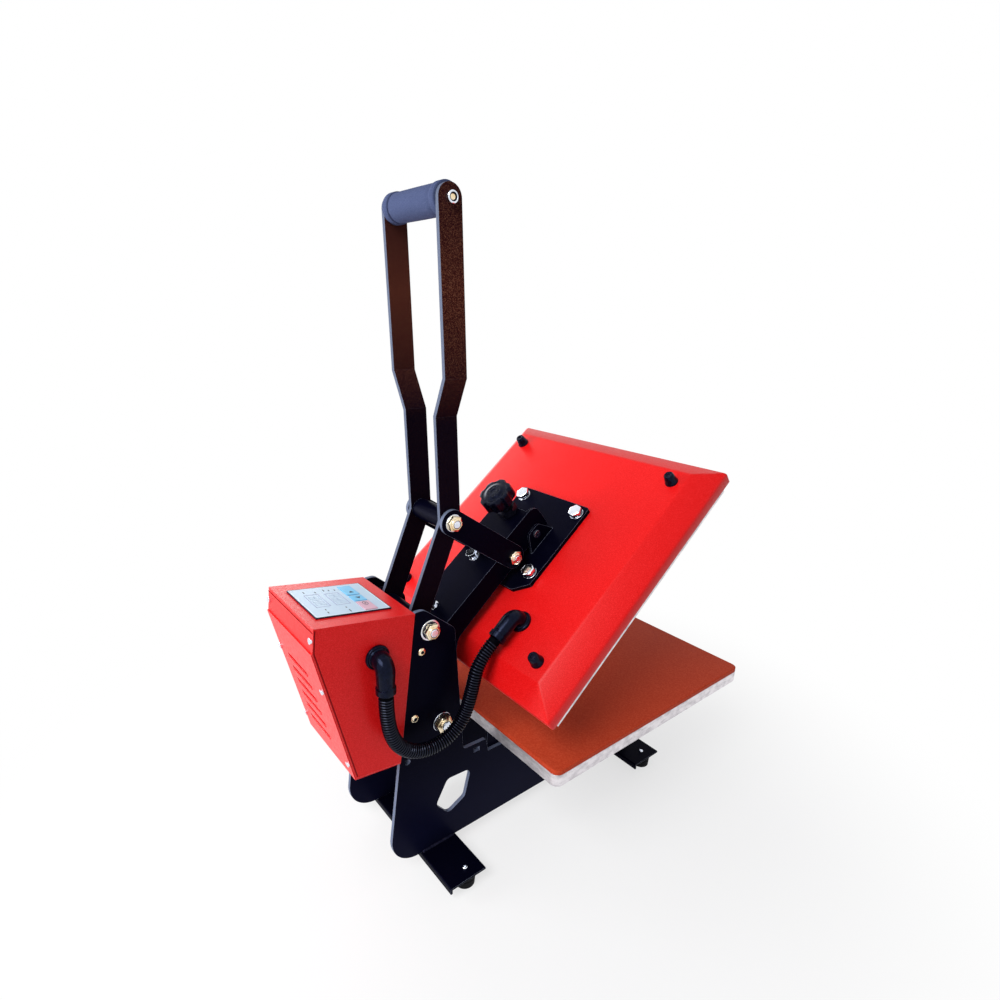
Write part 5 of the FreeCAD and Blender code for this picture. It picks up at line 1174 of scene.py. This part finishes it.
clear()
bpy.ops.mesh.primitive_circle_add(vertices=96, radius=9, fill_type="NGON")
ground = named("studio_floor")
paper = bpy.data.materials.new("pale paper")
paper.use_nodes = True
nodes, links = paper.node_tree.nodes, paper.node_tree.links
base = nodes["Principled BSDF"]
base.inputs["Base Color"].default_value = (0.88, 0.88, 0.89, 1)
base.inputs["Roughness"].default_value = 0.9
base.inputs["Specular IOR Level"].default_value = 0.1
spot = nodes.new("ShaderNodeTexCoord")
reach = nodes.new("ShaderNodeVectorMath")
reach.operation = "LENGTH"
fade = nodes.new("ShaderNodeMapRange")
fade.interpolation_type = "SMOOTHSTEP"
fade.inputs["From Min"].default_value, fade.inputs["From Max"].default_value = 0.25, 0.75
fade.inputs["To Min"].default_value = 0.68
both = nodes.new("ShaderNodeMath")
both.operation = "MULTIPLY"
glow = nodes.new("ShaderNodeEmission")
mix = nodes.new("ShaderNodeMixShader")
links.new(spot.outputs["Object"], reach.inputs[0])
links.new(reach.outputs["Value"], fade.inputs["Value"])
links.new(fade.outputs["Result"], both.inputs[0])
links.new(seen_directly(nodes, links), both.inputs[1])
links.new(both.outputs["Value"], mix.inputs["Fac"])
links.new(base.outputs["BSDF"], mix.inputs[1])
links.new(glow.outputs["Emission"], mix.inputs[2])
links.new(mix.outputs["Shader"], nodes["Material Output"].inputs["Surface"])
ground.data.materials.append(paper)
print("floor, mm:", measured(ground))

# %% [markdown]
# The surround has two strengths. The eye and the reflections see it as white, while the light that
# falls on the press from it is softer, so the colours stay as they were written. One strength for both
# would give either a grey background or a washed-out press.

# %% White surround
world = bpy.data.worlds.new("white surround")
bpy.context.scene.world = world
world.use_nodes = True
nodes, links = world.node_tree.nodes, world.node_tree.links
soft = nodes["Background"]
soft.inputs["Color"].default_value = (0.93, 0.95, 1.0, 1)
soft.inputs["Strength"].default_value = 0.26
white = nodes.new("ShaderNodeBackground")
white.inputs["Color"].default_value = (1, 1, 1, 1)
mix = nodes.new("ShaderNodeMixShader")
links.new(seen_directly(nodes, links), mix.inputs["Fac"])
links.new(soft.outputs["Background"], mix.inputs[1])
links.new(white.outputs["Background"], mix.inputs[2])
links.new(mix.outputs["Shader"], nodes["World Output"].inputs["Surface"])
print("surround strength:", soft.inputs["Strength"].default_value)

# %% [markdown]
# Three soft boxes. The high one behind the press lights its upper faces. A low one stands behind it on
# the far side and lines the rear edges with light, and a small one washes the control box's top. Large
# soft lamps are used rather than points, because a point leaves hard shadows and small hot glints.

# %% Soft boxes


def soft_box(name, stand_at, aim, wide, tall, watts):
    lamp = bpy.data.lights.new(name, "AREA")
    lamp.shape, lamp.size, lamp.size_y, lamp.energy = "RECTANGLE", wide, tall, watts
    box = bpy.data.objects.new(name, lamp)
    bpy.context.scene.collection.objects.link(box)
    box.location = stand_at
    box.rotation_euler = (Vector(aim) - Vector(stand_at)).to_track_quat("-Z", "Y").to_euler()
    box.visible_camera = False
    return box


soft_box("high_box", (-0.5, 1.8, 2.0), (0, 0, 0.3), 1.5, 1.2, 50)
soft_box("rim_box", (1.0, 1.5, 0.55), (0, 0.15, 0.4), 0.9, 1.0, 24)
soft_box("wash_box", (1.5, -0.05, 0.9), (0, 0.25, 0.37), 1.0, 0.8, 8)
print("lamps:", [lamp.name for lamp in bpy.data.lights])

# %% [markdown]
# The camera stands close behind the press on its left, a little below the grip, with a short lens. It
# could be placed by eye, but its numbers come from fitting the straight edges of the two platens, which
# also showed that it leans over by nearly two degrees.

# %% Camera
EYE = Vector((-0.5929, 0.5064, 0.6721))
bearing, down, roll = (math.radians(angle) for angle in (230.455, 16.458, 1.869))
ahead = Vector((-math.sin(bearing) * math.cos(down), math.cos(bearing) * math.cos(down), -math.sin(down)))
right = Vector((math.cos(bearing), math.sin(bearing), 0))
above = right.cross(ahead)
side_way = right * math.cos(roll) + above * math.sin(roll)
up_way = -right * math.sin(roll) + above * math.cos(roll)
lens = bpy.data.cameras.new("eye")
lens.sensor_fit, lens.sensor_width, lens.lens = "HORIZONTAL", 36, 22.215
camera = bpy.data.objects.new("eye", lens)
bpy.context.scene.collection.objects.link(camera)
camera.matrix_world = Matrix.Translation(EYE) @ Matrix((side_way, up_way, -ahead)).transposed().to_4x4()
bpy.context.scene.camera = camera
bpy.context.scene.view_settings.view_transform = "Standard"
print("lens, mm:", lens.lens)
